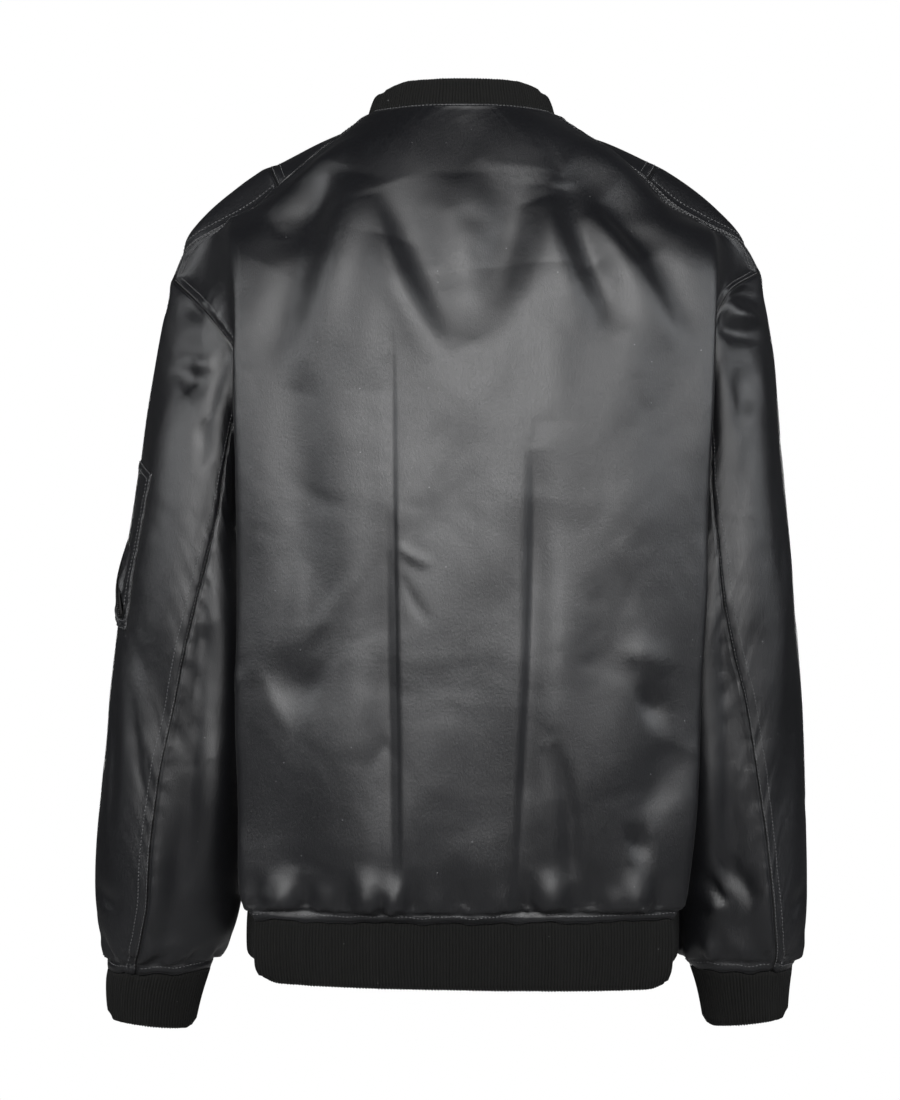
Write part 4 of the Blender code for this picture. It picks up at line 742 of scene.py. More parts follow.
def with_edges(height, grid, seed, edges, flange_size=1.0, top_share=1.0, share=1.0):
    """The heights, dying away at all four edges, with what sewing does there. The edges say for each of
    bottom, top, first and last column how wide its turned-in cloth is, or FLANGE. The shares say how strong
    the relief is at the top and at the others."""
    down, along = runs(grid)
    gaps = edge_gaps(grid)
    for gap in gaps:
        height *= fading(gap, EDGE_FADE)
    for k, (gap, lap) in enumerate(zip(gaps, edges)):
        if lap != FLANGE:
            relief = seam_relief(gap, along if k < 2 else down, seed + 10 * k, lap)
            height += relief * (top_share if k == 1 else share)
    if FLANGE in edges:
        height += flange_relief(gaps[edges.index(FLANGE)], along, seed + 5, flange_size)
    held = [fading(gap, 0.0025) for gap, lap in zip(gaps, edges) if lap != FLANGE]
    return height * np.prod(held, axis=0)


def body_heights(grid, face, seed, edges, gather_rows):
    """Heights of a body panel over its base: folds of its face, crumples, swells, gathers, seam relief."""
    u, v = cloth_metres(grid)
    gaps = edge_gaps(grid)
    folds = fold_field(grid[..., 0], grid[..., 2], folds_of(BODY_FOLDS, face))
    facing = smooth_step((np.abs(normals_of(grid)[..., 1]) - 0.15) / 0.35)
    height = folds * facing * fading(np.minimum(gaps[0], gaps[1]), EDGE_FADE)
    height += crumples(u, v, seed, 260, 80) + swells(u, v, seed + 1)
    height += gathers(grid[..., 0], gaps[0] - GATHER_START, gather_rows)
    return with_edges(height, grid, seed, edges, top_share=0.15, share=0.6 + 0.4 * face)


def raised(grid, height):
    """The grid moved out along its normals by a height at every point."""
    return grid + normals_of(grid) * height[..., None]


back_height = body_heights(back_base, 1, 11, (FLANGE, 0.0, LAP, LAP), HEM_GATHERS)
pieces_of_cloth = {"back": hung_edge(raised(back_base, back_height), 0, 12)}
for side, name in SIDES.items():
    rows = uneven_gathers(-0.18, 0.18, 0.015, 0.0050, 0.045, 21 + side)
    whole = front_base[side]
    front, yoke = whole[:ROW_YOKE + 1], whole[ROW_YOKE:]
    height = body_heights(front, -1, 31 + side, (FLANGE, 0.0, 0.0, 0.006), rows)
    pieces_of_cloth["front_" + name] = hung_edge(raised(front, height), 0, 13 + side)
    height = body_heights(yoke, -1, 41 + side, (LAP, 0.0, 0.0, 0.006), ())
    pieces_of_cloth["yoke_" + name] = raised(yoke, height)
print({name: grid.shape[:2] for name, grid in pieces_of_cloth.items()})


# %% Heights of the sleeves
SLEEVE_RADIUS = 0.066     # turns the angle between two sleeve folds into a distance along the cloth


def arc(angle, middle):
    """Distance round a sleeve from one angle, in degrees, to others: the short way, with its sign."""
    return np.radians((angle - middle + 180) % 360 - 180) * SLEEVE_RADIUS


def sleeve_heights(grid, side, seed, columns, levels, edges, cuff_gathers, under):
    """Heights of a sleeve panel: as on the body, with the folds placed by angle and height. Low down, the
    back seam of an under-sleeve is pressed: the cloth falls back by 8.5 mm beside it."""
    u, v = cloth_metres(grid)
    x, y, z = np.moveaxis(grid, -1, 0)
    angle = np.degrees(column_angles(SLEEVES[side], levels, columns))
    height = crumples(u, v, seed, 300, 85) + swells(u, v, seed + 1) * 0.8
    for a1, z1, a2, z2, a3, z3, breadth, rise in folds_of(SLEEVE_FOLDS, side):
        row = (arc(a1, a2), z1, 0.0, z2, arc(a3, a2), z3, breadth, rise, 0.7)
        height += fold_field(arc(angle, a2), z, [row])
    behind = smooth_step((normals_of(grid)[..., 1] - 0.1) / 0.3)
    height += fold_field(x, z, folds_of(SLEEVE_CREASES, side)) * behind
    gaps = edge_gaps(grid)
    if under:
        gap = gaps[2] if y[:, 0].mean() > y[:, -1].mean() else gaps[3]
        beside = smooth_step(gap / 0.024) * (1 - smooth_step((gap - 0.034) / 0.06))
        height -= 0.0085 * beside * (smooth_step((-0.54 - z) / 0.12) * smooth_step(gaps[1] / 0.045))
    height += gathers(u, gaps[1] - GATHER_START, cuff_gathers)
    return with_edges(height, grid, seed, edges, flange_size=0.7)


def flattened(grid, side, levels, columns):
    """The back of the under-sleeve lies flat beside its seam: moved out along Y by
    20 mm * sin(pi * share)^0.8, where the share is that of the way from 108 to 178 degrees round."""
    angle = np.degrees(column_angles(SLEEVES[side], levels, columns)) % 360
    share = np.clip((angle - 108) / 70, 0, 1)
    high = smooth_step((-0.24 - grid[..., 2]) / 0.28) * (1 - smooth_step((-0.57 - grid[..., 2]) / 0.12))
    moved = grid.copy()
    moved[..., 1] += 0.020 * np.sin(np.pi * share) ** 0.8 * high
    return moved


def softened(grid, columns):
    """Rounds the ridge that runs down the upper sleeve from the tip of the shoulder: five times over, each
    point moves part of the way to the mean of its neighbours in the row, more so near column 0."""
    near = 0.5 * np.exp(-(columns / 1.7) ** 2)[None, :] * smooth_step(edge_gaps(grid)[0] / 0.025)
    near = near[:, 1:-1, None]
    moved = grid.copy()
    for _ in range(5):
        moved[:, 1:-1] += near * ((moved[:, :-2] + moved[:, 2:]) / 2 - moved[:, 1:-1])
    return moved


for side, word in SIDES.items():
    for part, lap, more in (("upper", LAP, 1), ("under", 0.0, 0)):
        under = part == "under"
        grid, (levels, columns) = sleeve_base[side, part], sleeve_places[side, part]
        grid = flattened(grid, side, levels, columns) if under else softened(grid, columns)
        rows = uneven_gathers(-0.14, 0.14, 0.012, 0.0036, 0.026, 61 + side + more)
        height = sleeve_heights(grid, side, 71 + 3 * side + more, columns, levels,
                                (0.0, FLANGE, lap, lap), rows, under)
        pieces_of_cloth[f"sleeve_{word}_{part}"] = hung_edge(raised(grid, height), -1, 81 + side)
areas = {}
for name, grid in pieces_of_cloth.items():
    cell = np.cross(grid[1:, 1:] - grid[:-1, :-1], grid[1:, :-1] - grid[:-1, 1:])
    areas[name] = round(float(np.linalg.norm(cell, axis=-1).sum() / 2), 4)
print("areas of the cloth in square metres:", areas)

# %% [markdown]
# ## Materials
#
# Black satin is not black to the eye: its long floating threads lie flat and mirror the light softly, so
# it runs from grey in the light to near black where it turns away. Rib-knit is matte, because its loops
# point everywhere. Both could be one flat colour with one roughness, but then neither would read as
# cloth. So the fine weave, the crumple, the lint and the sewn edge are node groups, which each material
# takes with its own values. Shaders stay in the materials, where the export can read them.

# %% Helpers for shader nodes
def put(tree, kind, settings=(), **inputs):
    """Adds a node. Each input is a value or another node's socket; in1, in2 ... count from the first."""
    made = tree.nodes.new("ShaderNode" + kind)
    for key, value in dict(settings).items():
        setattr(made, key, value)
    for key, value in inputs.items():
        number = key[2:]
        target = made.inputs[int(number) - 1] if number.isdigit() else made.inputs[key.replace("_", " ")]
        if isinstance(value, bpy.types.NodeSocket):
            tree.links.new(value, target)
        else:
            target.default_value = value
    return made


def maths(tree, operation, *values):
    """A Math node's result."""
    inputs = {f"in{k + 1}": value for k, value in enumerate(values)}
    return put(tree, "Math", {"operation": operation}, **inputs).outputs[0]


def times(tree, a, b):
    """The product of two values or sockets."""
    return maths(tree, "MULTIPLY", a, b)


def plus(tree, a, b):
    """Their sum."""
    return maths(tree, "ADD", a, b)


def half_wave(tree, value):
    """A rounded ridge, 0 to 1 to 0, over each whole step of a value."""
    return maths(tree, "SINE", times(tree, maths(tree, "FRACT", value), math.pi))


def between_values(tree, value, low, high, to_low=0.0, to_high=1.0):
    """A value from one range, carried over smoothly to another."""
    return put(tree, "MapRange", {"interpolation_type": "SMOOTHSTEP"}, in1=value, in2=low, in3=high,
               in4=to_low, in5=to_high).outputs[0]


def colour_between(tree, share, low, high):
    """A colour between two others, each of them three numbers or another node's socket."""
    low, high = (one if isinstance(one, bpy.types.NodeSocket) else (*one, 1) for one in (low, high))
    return put(tree, "Mix", {"data_type": "RGBA"}, in1=share, in7=low, in8=high).outputs[2]


def noise(tree, where, scale, detail, roughness=0.5, distortion=0.0):
    """A Noise Texture's value. Its scale is the number of lumps in a metre."""
    return put(tree, "TexNoise", Vector=where, Scale=scale, Detail=detail, Roughness=roughness,
               Distortion=distortion).outputs[0]


def new_group(name, inputs, outputs):
    """An empty node group: its inputs' names with type and default, and the names of its float outputs."""
    group = bpy.data.node_groups.new(name, "ShaderNodeTree")
    for title, (kind, default) in inputs.items():
        made = group.interface.new_socket(title, in_out="INPUT", socket_type="NodeSocket" + kind)
        if default is not None:
            made.default_value = default
    for title in outputs:
        group.interface.new_socket(title, in_out="OUTPUT", socket_type="NodeSocketFloat")
    return group, group.nodes.new("NodeGroupInput").outputs, group.nodes.new("NodeGroupOutput").inputs


def place_group(tree, group, **inputs):
    """The outputs of a node group, placed in a tree."""
    return put(tree, "Group", {"node_tree": group}, **inputs).outputs


# %% Node group: weave
# Height of a satin weave from the cloth's own metres. Each thread is a rounded ridge. Every few threads
# along, at a place that steps on from thread to thread, it dips under a crossing one.
WEAVE, enter, leave = new_group(
    "satin_weave", {"Vector": ("Vector", None), "Pitch": ("Float", 0.00036)}, ["Height"])
parts = put(WEAVE, "SeparateXYZ", Vector=enter["Vector"]).outputs
across, down = (maths(WEAVE, "DIVIDE", parts[axis], enter["Pitch"]) for axis in "XY")
stepped = maths(WEAVE, "FRACT", plus(WEAVE, maths(WEAVE, "DIVIDE", down, 5.0),
                                     times(WEAVE, maths(WEAVE, "FLOOR", across), 0.4)))
off_middle = maths(WEAVE, "ABSOLUTE", maths(WEAVE, "SUBTRACT", stepped, 0.5))
dip = between_values(WEAVE, off_middle, 0.0, 0.14, 0.25, 1.0)
WEAVE.links.new(times(WEAVE, half_wave(WEAVE, across), dip), leave["Height"])

# %% Node group: crumple
# Height of the small unrest of worn cloth: a soft, broad one and a faint finer one.
CRUMPLE, enter, leave = new_group("cloth_crumple", {"Vector": ("Vector", None)}, ["Height"])
broad = noise(CRUMPLE, enter["Vector"], 13.0, 2.0, 0.5, 0.3)
fine = noise(CRUMPLE, enter["Vector"], 95.0, 4.0, 0.6, 0.4)
CRUMPLE.links.new(plus(CRUMPLE, broad, times(CRUMPLE, fine, 0.035)), leave["Height"])

# %% Node group: lint
# Mask of pale specks of lint: the hearts of few, far-apart cells.
LINT, enter, leave = new_group("lint", {"Vector": ("Vector", None), "Amount": ("Float", 0.5)}, ["Mask"])
cells = put(LINT, "TexVoronoi", {"feature": "F1"}, Vector=enter["Vector"], Scale=150.0, Randomness=1.0)
speck = between_values(LINT, cells.outputs["Distance"], 0.03, 0.075, 1.0, 0.0)
chance = put(LINT, "SeparateXYZ", Vector=cells.outputs["Color"]).outputs["X"]
chosen = maths(LINT, "LESS_THAN", chance, times(LINT, enter["Amount"], 0.18))
LINT.links.new(times(LINT, speck, chosen), leave["Mask"])

# %% Node group: seam
# Height of what a sewn seam does to the cloth closer than a cell of the mesh shows: a groove in the seam
# itself, and a shallow dent along the row of stitches. Its input is the distance to the seam in metres.
SEAM, enter, leave = new_group(
    "sewn_edge", {"Gap": ("Float", 1.0), "Row": ("Float", 0.0015)}, ["Height", "Mask"])
groove = between_values(SEAM, enter["Gap"], 0.0, 0.0011, 1.0, 0.0)
row_gap = maths(SEAM, "ABSOLUTE", maths(SEAM, "SUBTRACT", enter["Gap"], enter["Row"]))
dent = between_values(SEAM, row_gap, 0.0, 0.0012, 1.0, 0.0)
SEAM.links.new(times(SEAM, plus(SEAM, groove, times(SEAM, dent, 0.5)), -1.0), leave["Height"])
# Mask marks the groove itself; the satin darkens its colour there as painted shade in the seam.
SEAM.links.new(groove, leave["Mask"])
print("node groups:", [group.name for group in bpy.data.node_groups])


# %% Helpers for materials
def principled(name, colour, roughness, settings=()):
    """A new material with its shader's plain values set on the sockets themselves: material, tree, shader
    and the object's own coordinates."""
    made = bpy.data.materials.new(name)
    made.use_nodes = True
    tree, shader = made.node_tree, made.node_tree.nodes["Principled BSDF"]
    for key, value in {"Base Color": (*colour, 1), "Roughness": roughness, **dict(settings)}.items():
        shader.inputs[key].default_value = value
    return made, tree, shader, put(tree, "TexCoord").outputs["Object"]


def cloth_map(tree):
    """The cloth's own metres, from its UV map."""
    return put(tree, "UVMap", {"uv_map": "cloth"}).outputs[0]


def attribute(tree, name):
    """A value that the mesh keeps for each point."""
    return put(tree, "Attribute", {"attribute_name": name}).outputs["Fac"]


def bumped(tree, *layers):
    """A Bump node for each pair of a height and a distance in metres, one over the other."""
    normal = None
    for height, distance in layers:
        made = put(tree, "Bump", Height=height, Distance=distance, Strength=1.0)
        if normal is not None:
            tree.links.new(normal, made.inputs["Normal"])
        normal = made.outputs[0]
    return normal


def drive(tree, shader, colour, roughness, normal):
    """Links the three sockets that vary over every surface here."""
    for key, socket in (("Base Color", colour), ("Roughness", roughness), ("Normal", normal)):
        tree.links.new(socket, shader.inputs[key])


# %% Black satin
SATIN_LOW, SATIN_HIGH = (0.0030, 0.0031, 0.0040), (0.0062, 0.0064, 0.0078)
satin, tree, shader, where = principled(
    "black_satin", (0.007, 0.007, 0.008), 0.4,
    {"Specular IOR Level": 0.62, "Sheen Weight": 0.02, "Sheen Roughness": 0.45})
threads = cloth_map(tree)
weave = place_group(tree, WEAVE, Vector=threads, Pitch=0.00040)["Height"]
crumple = place_group(tree, CRUMPLE, Vector=where)["Height"]
lint = place_group(tree, LINT, Vector=where, Amount=0.5)["Mask"]
edge = place_group(tree, SEAM, Gap=attribute(tree, "seam"), Row=0.0016)
mottled = noise(tree, where, 9.0, 3.0, 0.6)
floats = put(tree, "Mapping", in4=(1.0, 0.5, 1.0), Vector=threads).outputs[0]       # longer down the cloth
grain = noise(tree, floats, 760.0, 3.0, 0.75)
shade = plus(tree, times(tree, mottled, 0.6), times(tree, grain, 0.5))
base = colour_between(tree, between_values(tree, shade, 0.35, 0.75), SATIN_LOW, SATIN_HIGH)
# Painted shade: the satin's colour turns darker in the groove of each seam and along the pocket's zip slit.
dark = colour_between(tree, edge["Mask"], base, (0.004, 0.004, 0.0045))
rough = plus(tree, between_values(tree, grain, 0.3, 0.7, 0.27, 0.38), times(tree, mottled, 0.06))
drive(tree, shader, colour_between(tree, lint, dark, (0.23, 0.23, 0.24)), rough,
      bumped(tree, (crumple, 0.0028), (edge["Height"], 0.0006), (grain, 0.00020), (weave, 0.00003)))

# %% Rib-knit
# The ribs are in the mesh. Their loops are here: small slanted stitches side by side in columns, from the
# knit's own metres, with a fuzz of fibre over them.
LOOP_WIDTH, LOOP_HEIGHT = 0.00095, 0.0011
knit, tree, shader, where = principled(
    "black_rib_knit", (0.012, 0.012, 0.0115), 0.82,
    {"Specular IOR Level": 0.13, "Sheen Weight": 0.02, "Sheen Roughness": 0.6})
parts = put(tree, "SeparateXYZ", Vector=cloth_map(tree)).outputs
slant = maths(tree, "PINGPONG", maths(tree, "DIVIDE", parts["X"], LOOP_WIDTH), 0.5)
course = plus(tree, maths(tree, "DIVIDE", parts["Y"], LOOP_HEIGHT), times(tree, slant, 1.1))
loop_height = times(tree, half_wave(tree, course), plus(tree, 0.4, slant))
fuzz, patch = noise(tree, where, 1500.0, 3.0, 0.7), noise(tree, where, 22.0, 3.0, 0.6)
# Painted light and shade: through the rib profile the colour is lighter on the crests of the ribs and darker in
# the grooves between them; fuzz and broad patches vary it at random.
shade = plus(tree, times(tree, attribute(tree, "rib"), 0.6),
             plus(tree, times(tree, fuzz, 0.35), times(tree, patch, 0.25)))
base = colour_between(tree, between_values(tree, shade, 0.15, 1.0),
                      (0.0012, 0.0012, 0.0011), (0.0066, 0.0066, 0.0062))
lint = place_group(tree, LINT, Vector=where, Amount=0.7)["Mask"]
drive(tree, shader, colour_between(tree, lint, base, (0.16, 0.16, 0.16)),
      between_values(tree, fuzz, 0.3, 0.7, 0.74, 0.90), bumped(tree, (loop_height, 0.00022), (fuzz, 0.00012)))

# %% Thread, zip tape and zip metal
thread_stuff, tree, shader, where = principled(
    "sewing_thread", (0.05, 0.05, 0.052), 0.5, {"Sheen Weight": 0.2})
twist = noise(tree, where, 2600.0, 2.0)
drive(tree, shader, colour_between(tree, twist, (0.036, 0.036, 0.038), (0.090, 0.090, 0.093)),
      between_values(tree, twist, 0.3, 0.7, 0.42, 0.60), bumped(tree, (twist, 0.0001)))

tape, tree, shader, where = principled("woven_tape", (0.013, 0.013, 0.013), 0.8, {"Specular IOR Level": 0.3})
parts = put(tree, "SeparateXYZ", Vector=cloth_map(tree)).outputs
woven = times(tree, *(maths(tree, "SINE", times(tree, parts[axis], 2 * math.pi / pitch))
                      for axis, pitch in (("X", 0.0009), ("Y", 0.0006))))
fuzz = noise(tree, where, 900.0, 3.0)
shade = between_values(tree, plus(tree, times(tree, woven, 0.25), fuzz), 0.2, 0.8)
drive(tree, shader, colour_between(tree, shade, (0.007, 0.007, 0.007), (0.020, 0.020, 0.020)),
      between_values(tree, fuzz, 0.3, 0.7, 0.7, 0.9), bumped(tree, (woven, 0.00012)))

metal, tree, shader, where = principled("dark_zip_metal", (0.060, 0.060, 0.062), 0.36, {"Metallic": 1.0})
worn = noise(tree, where, 420.0, 4.0, 0.65)
brushed = noise(tree, put(tree, "Mapping", in4=(1.0, 1.0, 0.08), Vector=where).outputs[0], 2400.0, 2.0)
drive(tree, shader, colour_between(tree, between_values(tree, worn, 0.45, 0.72), (0.050, 0.050, 0.052),
                                   (0.155, 0.150, 0.142)),
      between_values(tree, worn, 0.3, 0.7, 0.46, 0.28), bumped(tree, (brushed, 0.00004)))
print("materials:", [satin.name, knit.name, thread_stuff.name, tape.name, metal.name])

# %% [markdown]
# ## Cloth pieces
#
# A panel of cloth is one grid of points joined into four-cornered faces. Numpy makes the index table of
# the faces in one go. A wall 1.1 mm thick grows inwards from it with Solidify, so the outside, which the
# folds were worked out for, stays where it is.

# %% From a grid to a piece
def make_piece(name, points, faces, material, uv=None, values=None, smooth=True):
    """A mesh object from arrays: points, one or more arrays of faces, and a uv and a value of each kind for
    every point."""
    mesh = bpy.data.meshes.new(name)
    mesh.from_pydata(points.reshape(-1, 3).tolist(), [], sum((some.tolist() for some in faces), []))
    mesh.update()
    if uv is not None:
        loops = np.empty(len(mesh.loops), np.int32)
        mesh.loops.foreach_get("vertex_index", loops)
        layer = mesh.uv_layers.new(name="cloth")
        layer.data.foreach_set("uv", uv.reshape(-1, 2)[loops].astype(np.float32).ravel())
    for key, value in (values or {}).items():
        made = mesh.attributes.new(key, "FLOAT", "POINT")
        made.data.foreach_set("value", value.astype(np.float32).ravel())
    mesh.polygons.foreach_set("use_smooth", np.full(len(mesh.polygons), smooth))
    mesh.materials.append(material)
    piece = bpy.data.objects.new(name, mesh)
    bpy.context.scene.collection.objects.link(piece)
    return piece


def uv_grid(across, along):
    """The uv of a grid, from the metres of its columns and of its rows."""
    return np.stack(np.broadcast_arrays(across[None, :], along[:, None]), -1)


def grid_faces(rows, columns, wrap_rows=False, wrap_columns=False):
    """Corner numbers of a grid's cells. A wrapped grid joins its last row or column to its first."""
    index = np.arange(rows * columns).reshape(rows, columns)
    if wrap_rows:
        index = np.concatenate([index, index[:1]])
    if wrap_columns:
        index = np.concatenate([index, index[:, :1]], 1)
    return np.stack([index[:-1, :-1], index[:-1, 1:], index[1:, 1:], index[1:, :-1]], -1).reshape(-1, 4)


def outward(faces, grid, normal):
    """The faces, turned round where their own normal runs against the cloth's outward one."""
    corners = grid.reshape(-1, 3)[faces[:, :3]]
    own = np.cross(corners[:, 1] - corners[:, 0], corners[:, 2] - corners[:, 0])
    same = (own * normal.reshape(-1, 3)[faces[:, 0]]).sum() > 0
    return faces if same else faces[:, ::-1]


def cloth_piece(name, grid, normal, material, uv, wall, values=None):
    """A sheet over a grid, with its wall grown inwards."""
    faces = outward(grid_faces(*grid.shape[:2]), grid, normal)
    piece = make_piece(name, grid, [faces], material, uv, values)
    solid = piece.modifiers.new("wall", "SOLIDIFY")
    solid.thickness, solid.offset, solid.use_rim = wall, -1.0, True
    return piece


def copies(faces, step, count):
    """Faces of one small body, repeated for many that have a set number of points each."""
    return (faces[None] + step * np.arange(count)[:, None, None]).reshape(-1, faces.shape[1])


def triangles(piece):
    """Number of triangles of a piece, twice as many where a modifier gives it a wall."""
    count = sum(len(face.vertices) - 2 for face in piece.data.polygons)
    return 2 * count if piece.modifiers else count


# %% The satin panels
satin_pieces = {}
for name, grid in pieces_of_cloth.items():
    gaps = edge_gaps(grid)
    sewn = gaps[:3] if name.startswith(("front", "yoke")) else gaps          # the zip's edge is no seam
    uv = np.stack(cloth_metres(grid), -1)
    satin_pieces[name] = cloth_piece(name + "_cloth", grid, normals_of(grid), satin, uv, CLOTH,
                                     {"seam": np.minimum.reduce(sewn)})
print({name: triangles(piece) for name, piece in satin_pieces.items()})

# %% [markdown]
# ## Rib-knit bands
#
# Collar, cuffs and hem are one fabric: a knit whose loops stand forwards and back in turn, so that it
# gathers itself into upright ribs 2.5 mm apart. The cloth is doubled, with its fold at the free edge.
# A bump map would do for the front view, but the edge of the fold would stay smooth. So each rib is six
# columns of the mesh, and the band runs down the outside, round the fold and up the inside.

# %% Ribbed bands
KNIT = 0.0024             # thickness of the doubled knit
RIB_PITCH = 0.0025        # from one rib to the next
RIB_RISE = 0.0009         # how far a rib stands over the groove beside it
RIB_COLUMNS = 6           # mesh columns of one rib
KNIT_CELL = 0.0034        # height of a mesh cell


def even_line(line, count, closed=False):
    """Points at even distances along a polyline."""
    line = np.concatenate([line, line[:1]]) if closed else line
    run = run_along(line)
    return read_line(line, run, np.linspace(0, run[-1], count, endpoint=not closed))


def plan_normals(line, closed):
    """Outward normals in the horizontal plane of a line that runs anticlockwise, seen from above."""
    along = np.roll(line, -1, 0) - np.roll(line, 1, 0) if closed else np.gradient(line, axis=0)
    return unit(np.stack([along[:, 1], -along[:, 0], np.zeros(len(line))], -1))


def knit_band(name, lines, closed, seed, corner=0.0, start=1.0):
    """A doubled rib-knit band over three lines: seam, middle and free edge. Down the outside it follows the
    parabola through the lines; at the edge it turns over a half circle; then it runs up inside. The ribs
    stand out along the normals as |cos|^0.75 of their place, shallower beside the seam. Towards its left and
    right ends the free edge turns in and up by the corner's size, along an arc that begins at start, where
    0 is the seam and 2 is the edge."""
    length = run_along(np.concatenate([lines[1], lines[1][:1]]) if closed else lines[1])[-1]
    ribs = int(round(length / RIB_PITCH))
    count = ribs * RIB_COLUMNS + (0 if closed else 1)
    a, b, c = (even_line(line, count, closed) for line in lines)
    height = np.linalg.norm((c - a)[count // 2])
    rows = max(8, int(height / KNIT_CELL))
    k = np.concatenate([np.linspace(0, 2, rows), [2, 2, 2], np.linspace(2, 0, rows // 2)])
    turn = np.concatenate([np.zeros(rows), np.radians([45, 90, 135]), np.full(rows // 2, math.pi)])
    kk = k[:, None, None]
    middle = (1 - kk) * (2 - kk) / 2 * a + kk * (2 - kk) * b + kk * (kk - 1) / 2 * c
    out = np.stack([plan_normals(line, closed) for line in (a, b, c)])[np.round(k).astype(int)]
    edge_way = unit(c - b)
    half = KNIT / 2
    grid = middle - out * (half * (1 - np.cos(turn)))[:, None, None]
    grid += edge_way[None] * (half * (np.sin(turn) - smooth_step(k - 1)))[:, None, None]
    place = np.arange(count) / RIB_COLUMNS
    wander = 0.16 * waves(place / ribs * length, seed, 0.03, 0.12)[None, :] * np.sin(k * 1.6)[:, None]
    profile = np.abs(np.cos(np.pi * (place[None, :] + wander))) ** 0.75
    uneven = 1 + 0.22 * waves(place * RIB_PITCH, seed + 1, 0.006, 0.03)[None, :]
    strength = 0.3 + 0.7 * smooth_step(k / 0.35)
    facing = out * np.cos(turn)[:, None, None] + edge_way[None] * np.sin(turn)[:, None, None]
    relief = RIB_RISE * (profile - 0.35) * uneven * strength[:, None]
    slack = 0.0007 * waves(place * RIB_PITCH, seed + 2, 0.05, 0.21)[None, :] * smooth_step(k / 2)[:, None]
    reach = np.abs(c[:, 0] - c[:, 0].mean())
    share = np.clip((k - start) / (2 - start), 0, 1)[:, None]
    tuck = corner * smooth_step((reach / reach.max() - 0.82) / 0.18)[None, :] * (1 - np.sqrt(1 - share ** 2))
    grid = grid + facing * relief[..., None] + out * (slack - tuck)[..., None]
    grid[..., 2] += 0.3 * tuck
    uv = uv_grid(place * RIB_PITCH, k * height / 2)
    faces = grid_faces(len(k), count, wrap_rows=True, wrap_columns=closed)
    turned = outward(faces, grid, facing)
    first = np.arange(len(k)) * count
    ends = np.stack([first, (first + count - 1)[::-1]])
    whole = [turned] if closed else [turned, ends if turned is faces else ends[:, ::-1]]
    # The rib value is the ribs' profile, which the knit material uses to paint light on the crests and shade in
    # the grooves.
    return make_piece(name, grid, whole, knit, uv, {"rib": np.broadcast_to(profile, grid.shape[:2])}), ribs


# %% Lines that the bands follow
def body_outline(row):
    """A row all round the body, anticlockwise from above: left zip edge, back, right zip edge."""
    return np.concatenate([front_base[1][row][::-1], back_base[row][1:-1], front_base[-1][row]])


def ringed(line, scales, lifts, tilt=0.0):
    """Three lines of a band from the seam's: scaled about the Z axis, with the ends kept at the zip."""
    found = []
    for k, (scale, lift) in enumerate(zip(scales, lifts)):
        moved = line * np.array([scale, scale, 1.0])
        moved[0, 0], moved[-1, 0] = ZIP_GAP, -ZIP_GAP
        moved[:, 2] = moved[:, 2] + lift + (tilt * moved[:, 0] if k == 2 else 0)
        found.append(moved)
    return found


# %% Tables of the bands
# Rib-knit: rows under the seam. Each row is the seam line, scaled about its middle and set to a height.
HEM_ROWS = table("scale z", (1.000, -0.6555), (1.004, -0.684), (0.990, -0.7095))
HEM_TILT = 0.016          # the hem hangs lower on the wearer's right: slope of its edge
COLLAR_ROWS = table("scale lift", (0.985, -0.0030), (0.935, 0.0120), (0.885, 0.0212))
CUFF_COLUMNS = "z_out x_out z_in x_in y_mid half_y"
CUFF_LEFT = table(
    CUFF_COLUMNS,
    (-0.7316, 0.2950, -0.7351, 0.2165, -0.022, 0.0330),
    (-0.7513, 0.2933, -0.7589, 0.2216, -0.022, 0.0320),
)
CUFF_RIGHT = table(
    CUFF_COLUMNS,
    (-0.7286, 0.2698, -0.7316, 0.1950, -0.022, 0.0330),
    (-0.7498, 0.2683, -0.7569, 0.1996, -0.022, 0.0320),
)


# %% Collar, hem and cuffs
ribs = {}
bands = {}
hem_seam = body_outline(0)
hem_lines = ringed(hem_seam, HEM_ROWS["scale"], HEM_ROWS["z"] - hem_seam[0, 2], HEM_TILT)
bands["hem_rib"], ribs["hem_rib"] = knit_band("hem_knit", hem_lines, False, 101, 0.014, 1.35)
collar_seam = body_outline(-1)
collar_lines = ringed(collar_seam, COLLAR_ROWS["scale"], COLLAR_ROWS["lift"])
for line, drop in zip(collar_lines[1:], (0.0015, 0.0045)):      # its edge bends down at the sides of the neck
    line[:, 2] -= drop * smooth_step((np.abs(line[:, 0]) - 0.042) / 0.028)
bands["collar_rib"], ribs["collar_rib"] = knit_band("collar_knit", collar_lines, False, 111)
for (side, word), rows in zip(SIDES.items(), (CUFF_LEFT, CUFF_RIGHT)):
    top = np.concatenate([pieces_of_cloth[f"sleeve_{word}_upper"][-1],
                          pieces_of_cloth[f"sleeve_{word}_under"][-1][1:-1]])
    around = np.arctan2(top[:, 1] - rows["y_mid"][0], side * (top[:, 0] - top[:, 0].mean()))
    order = np.argsort(around)
    top, around = top[order] - np.array([0, 0, 0.0004]), around[order]
    rings = [top] + [ring_points(rows, np.array([float(k)]), around[None, :], side)[0] for k in range(2)]
    rings = [ring[::side] for ring in rings]
    name = "cuff_" + word
    bands[name], ribs[name] = knit_band("cuff_knit_" + word, rings, True, 120 + side, 0.0022, 1.7)
print("ribs:", ribs, "triangles:", {name: triangles(piece) for name, piece in bands.items()})

# %% [markdown]
# ## Stitching
#
# Two rows of stitches hold each felled seam flat, a few millimetres apart, and one row holds each narrow
# edge. A stitch shows as a short thread that dives into the cloth at both ends. Each is a small tapered
# body with four sides, drawn out along a row that keeps a set distance from the panel's edge. A texture of
# dashes would be lighter, but it would not catch the light.

# %% Rows of stitches
def edge_first(grid, edge):
    """The grid turned so that the named edge is its first row."""
    return {"bottom": grid, "top": grid[::-1], "first": np.swapaxes(grid, 0, 1),
            "last": np.swapaxes(grid[:, ::-1], 0, 1)}[edge]


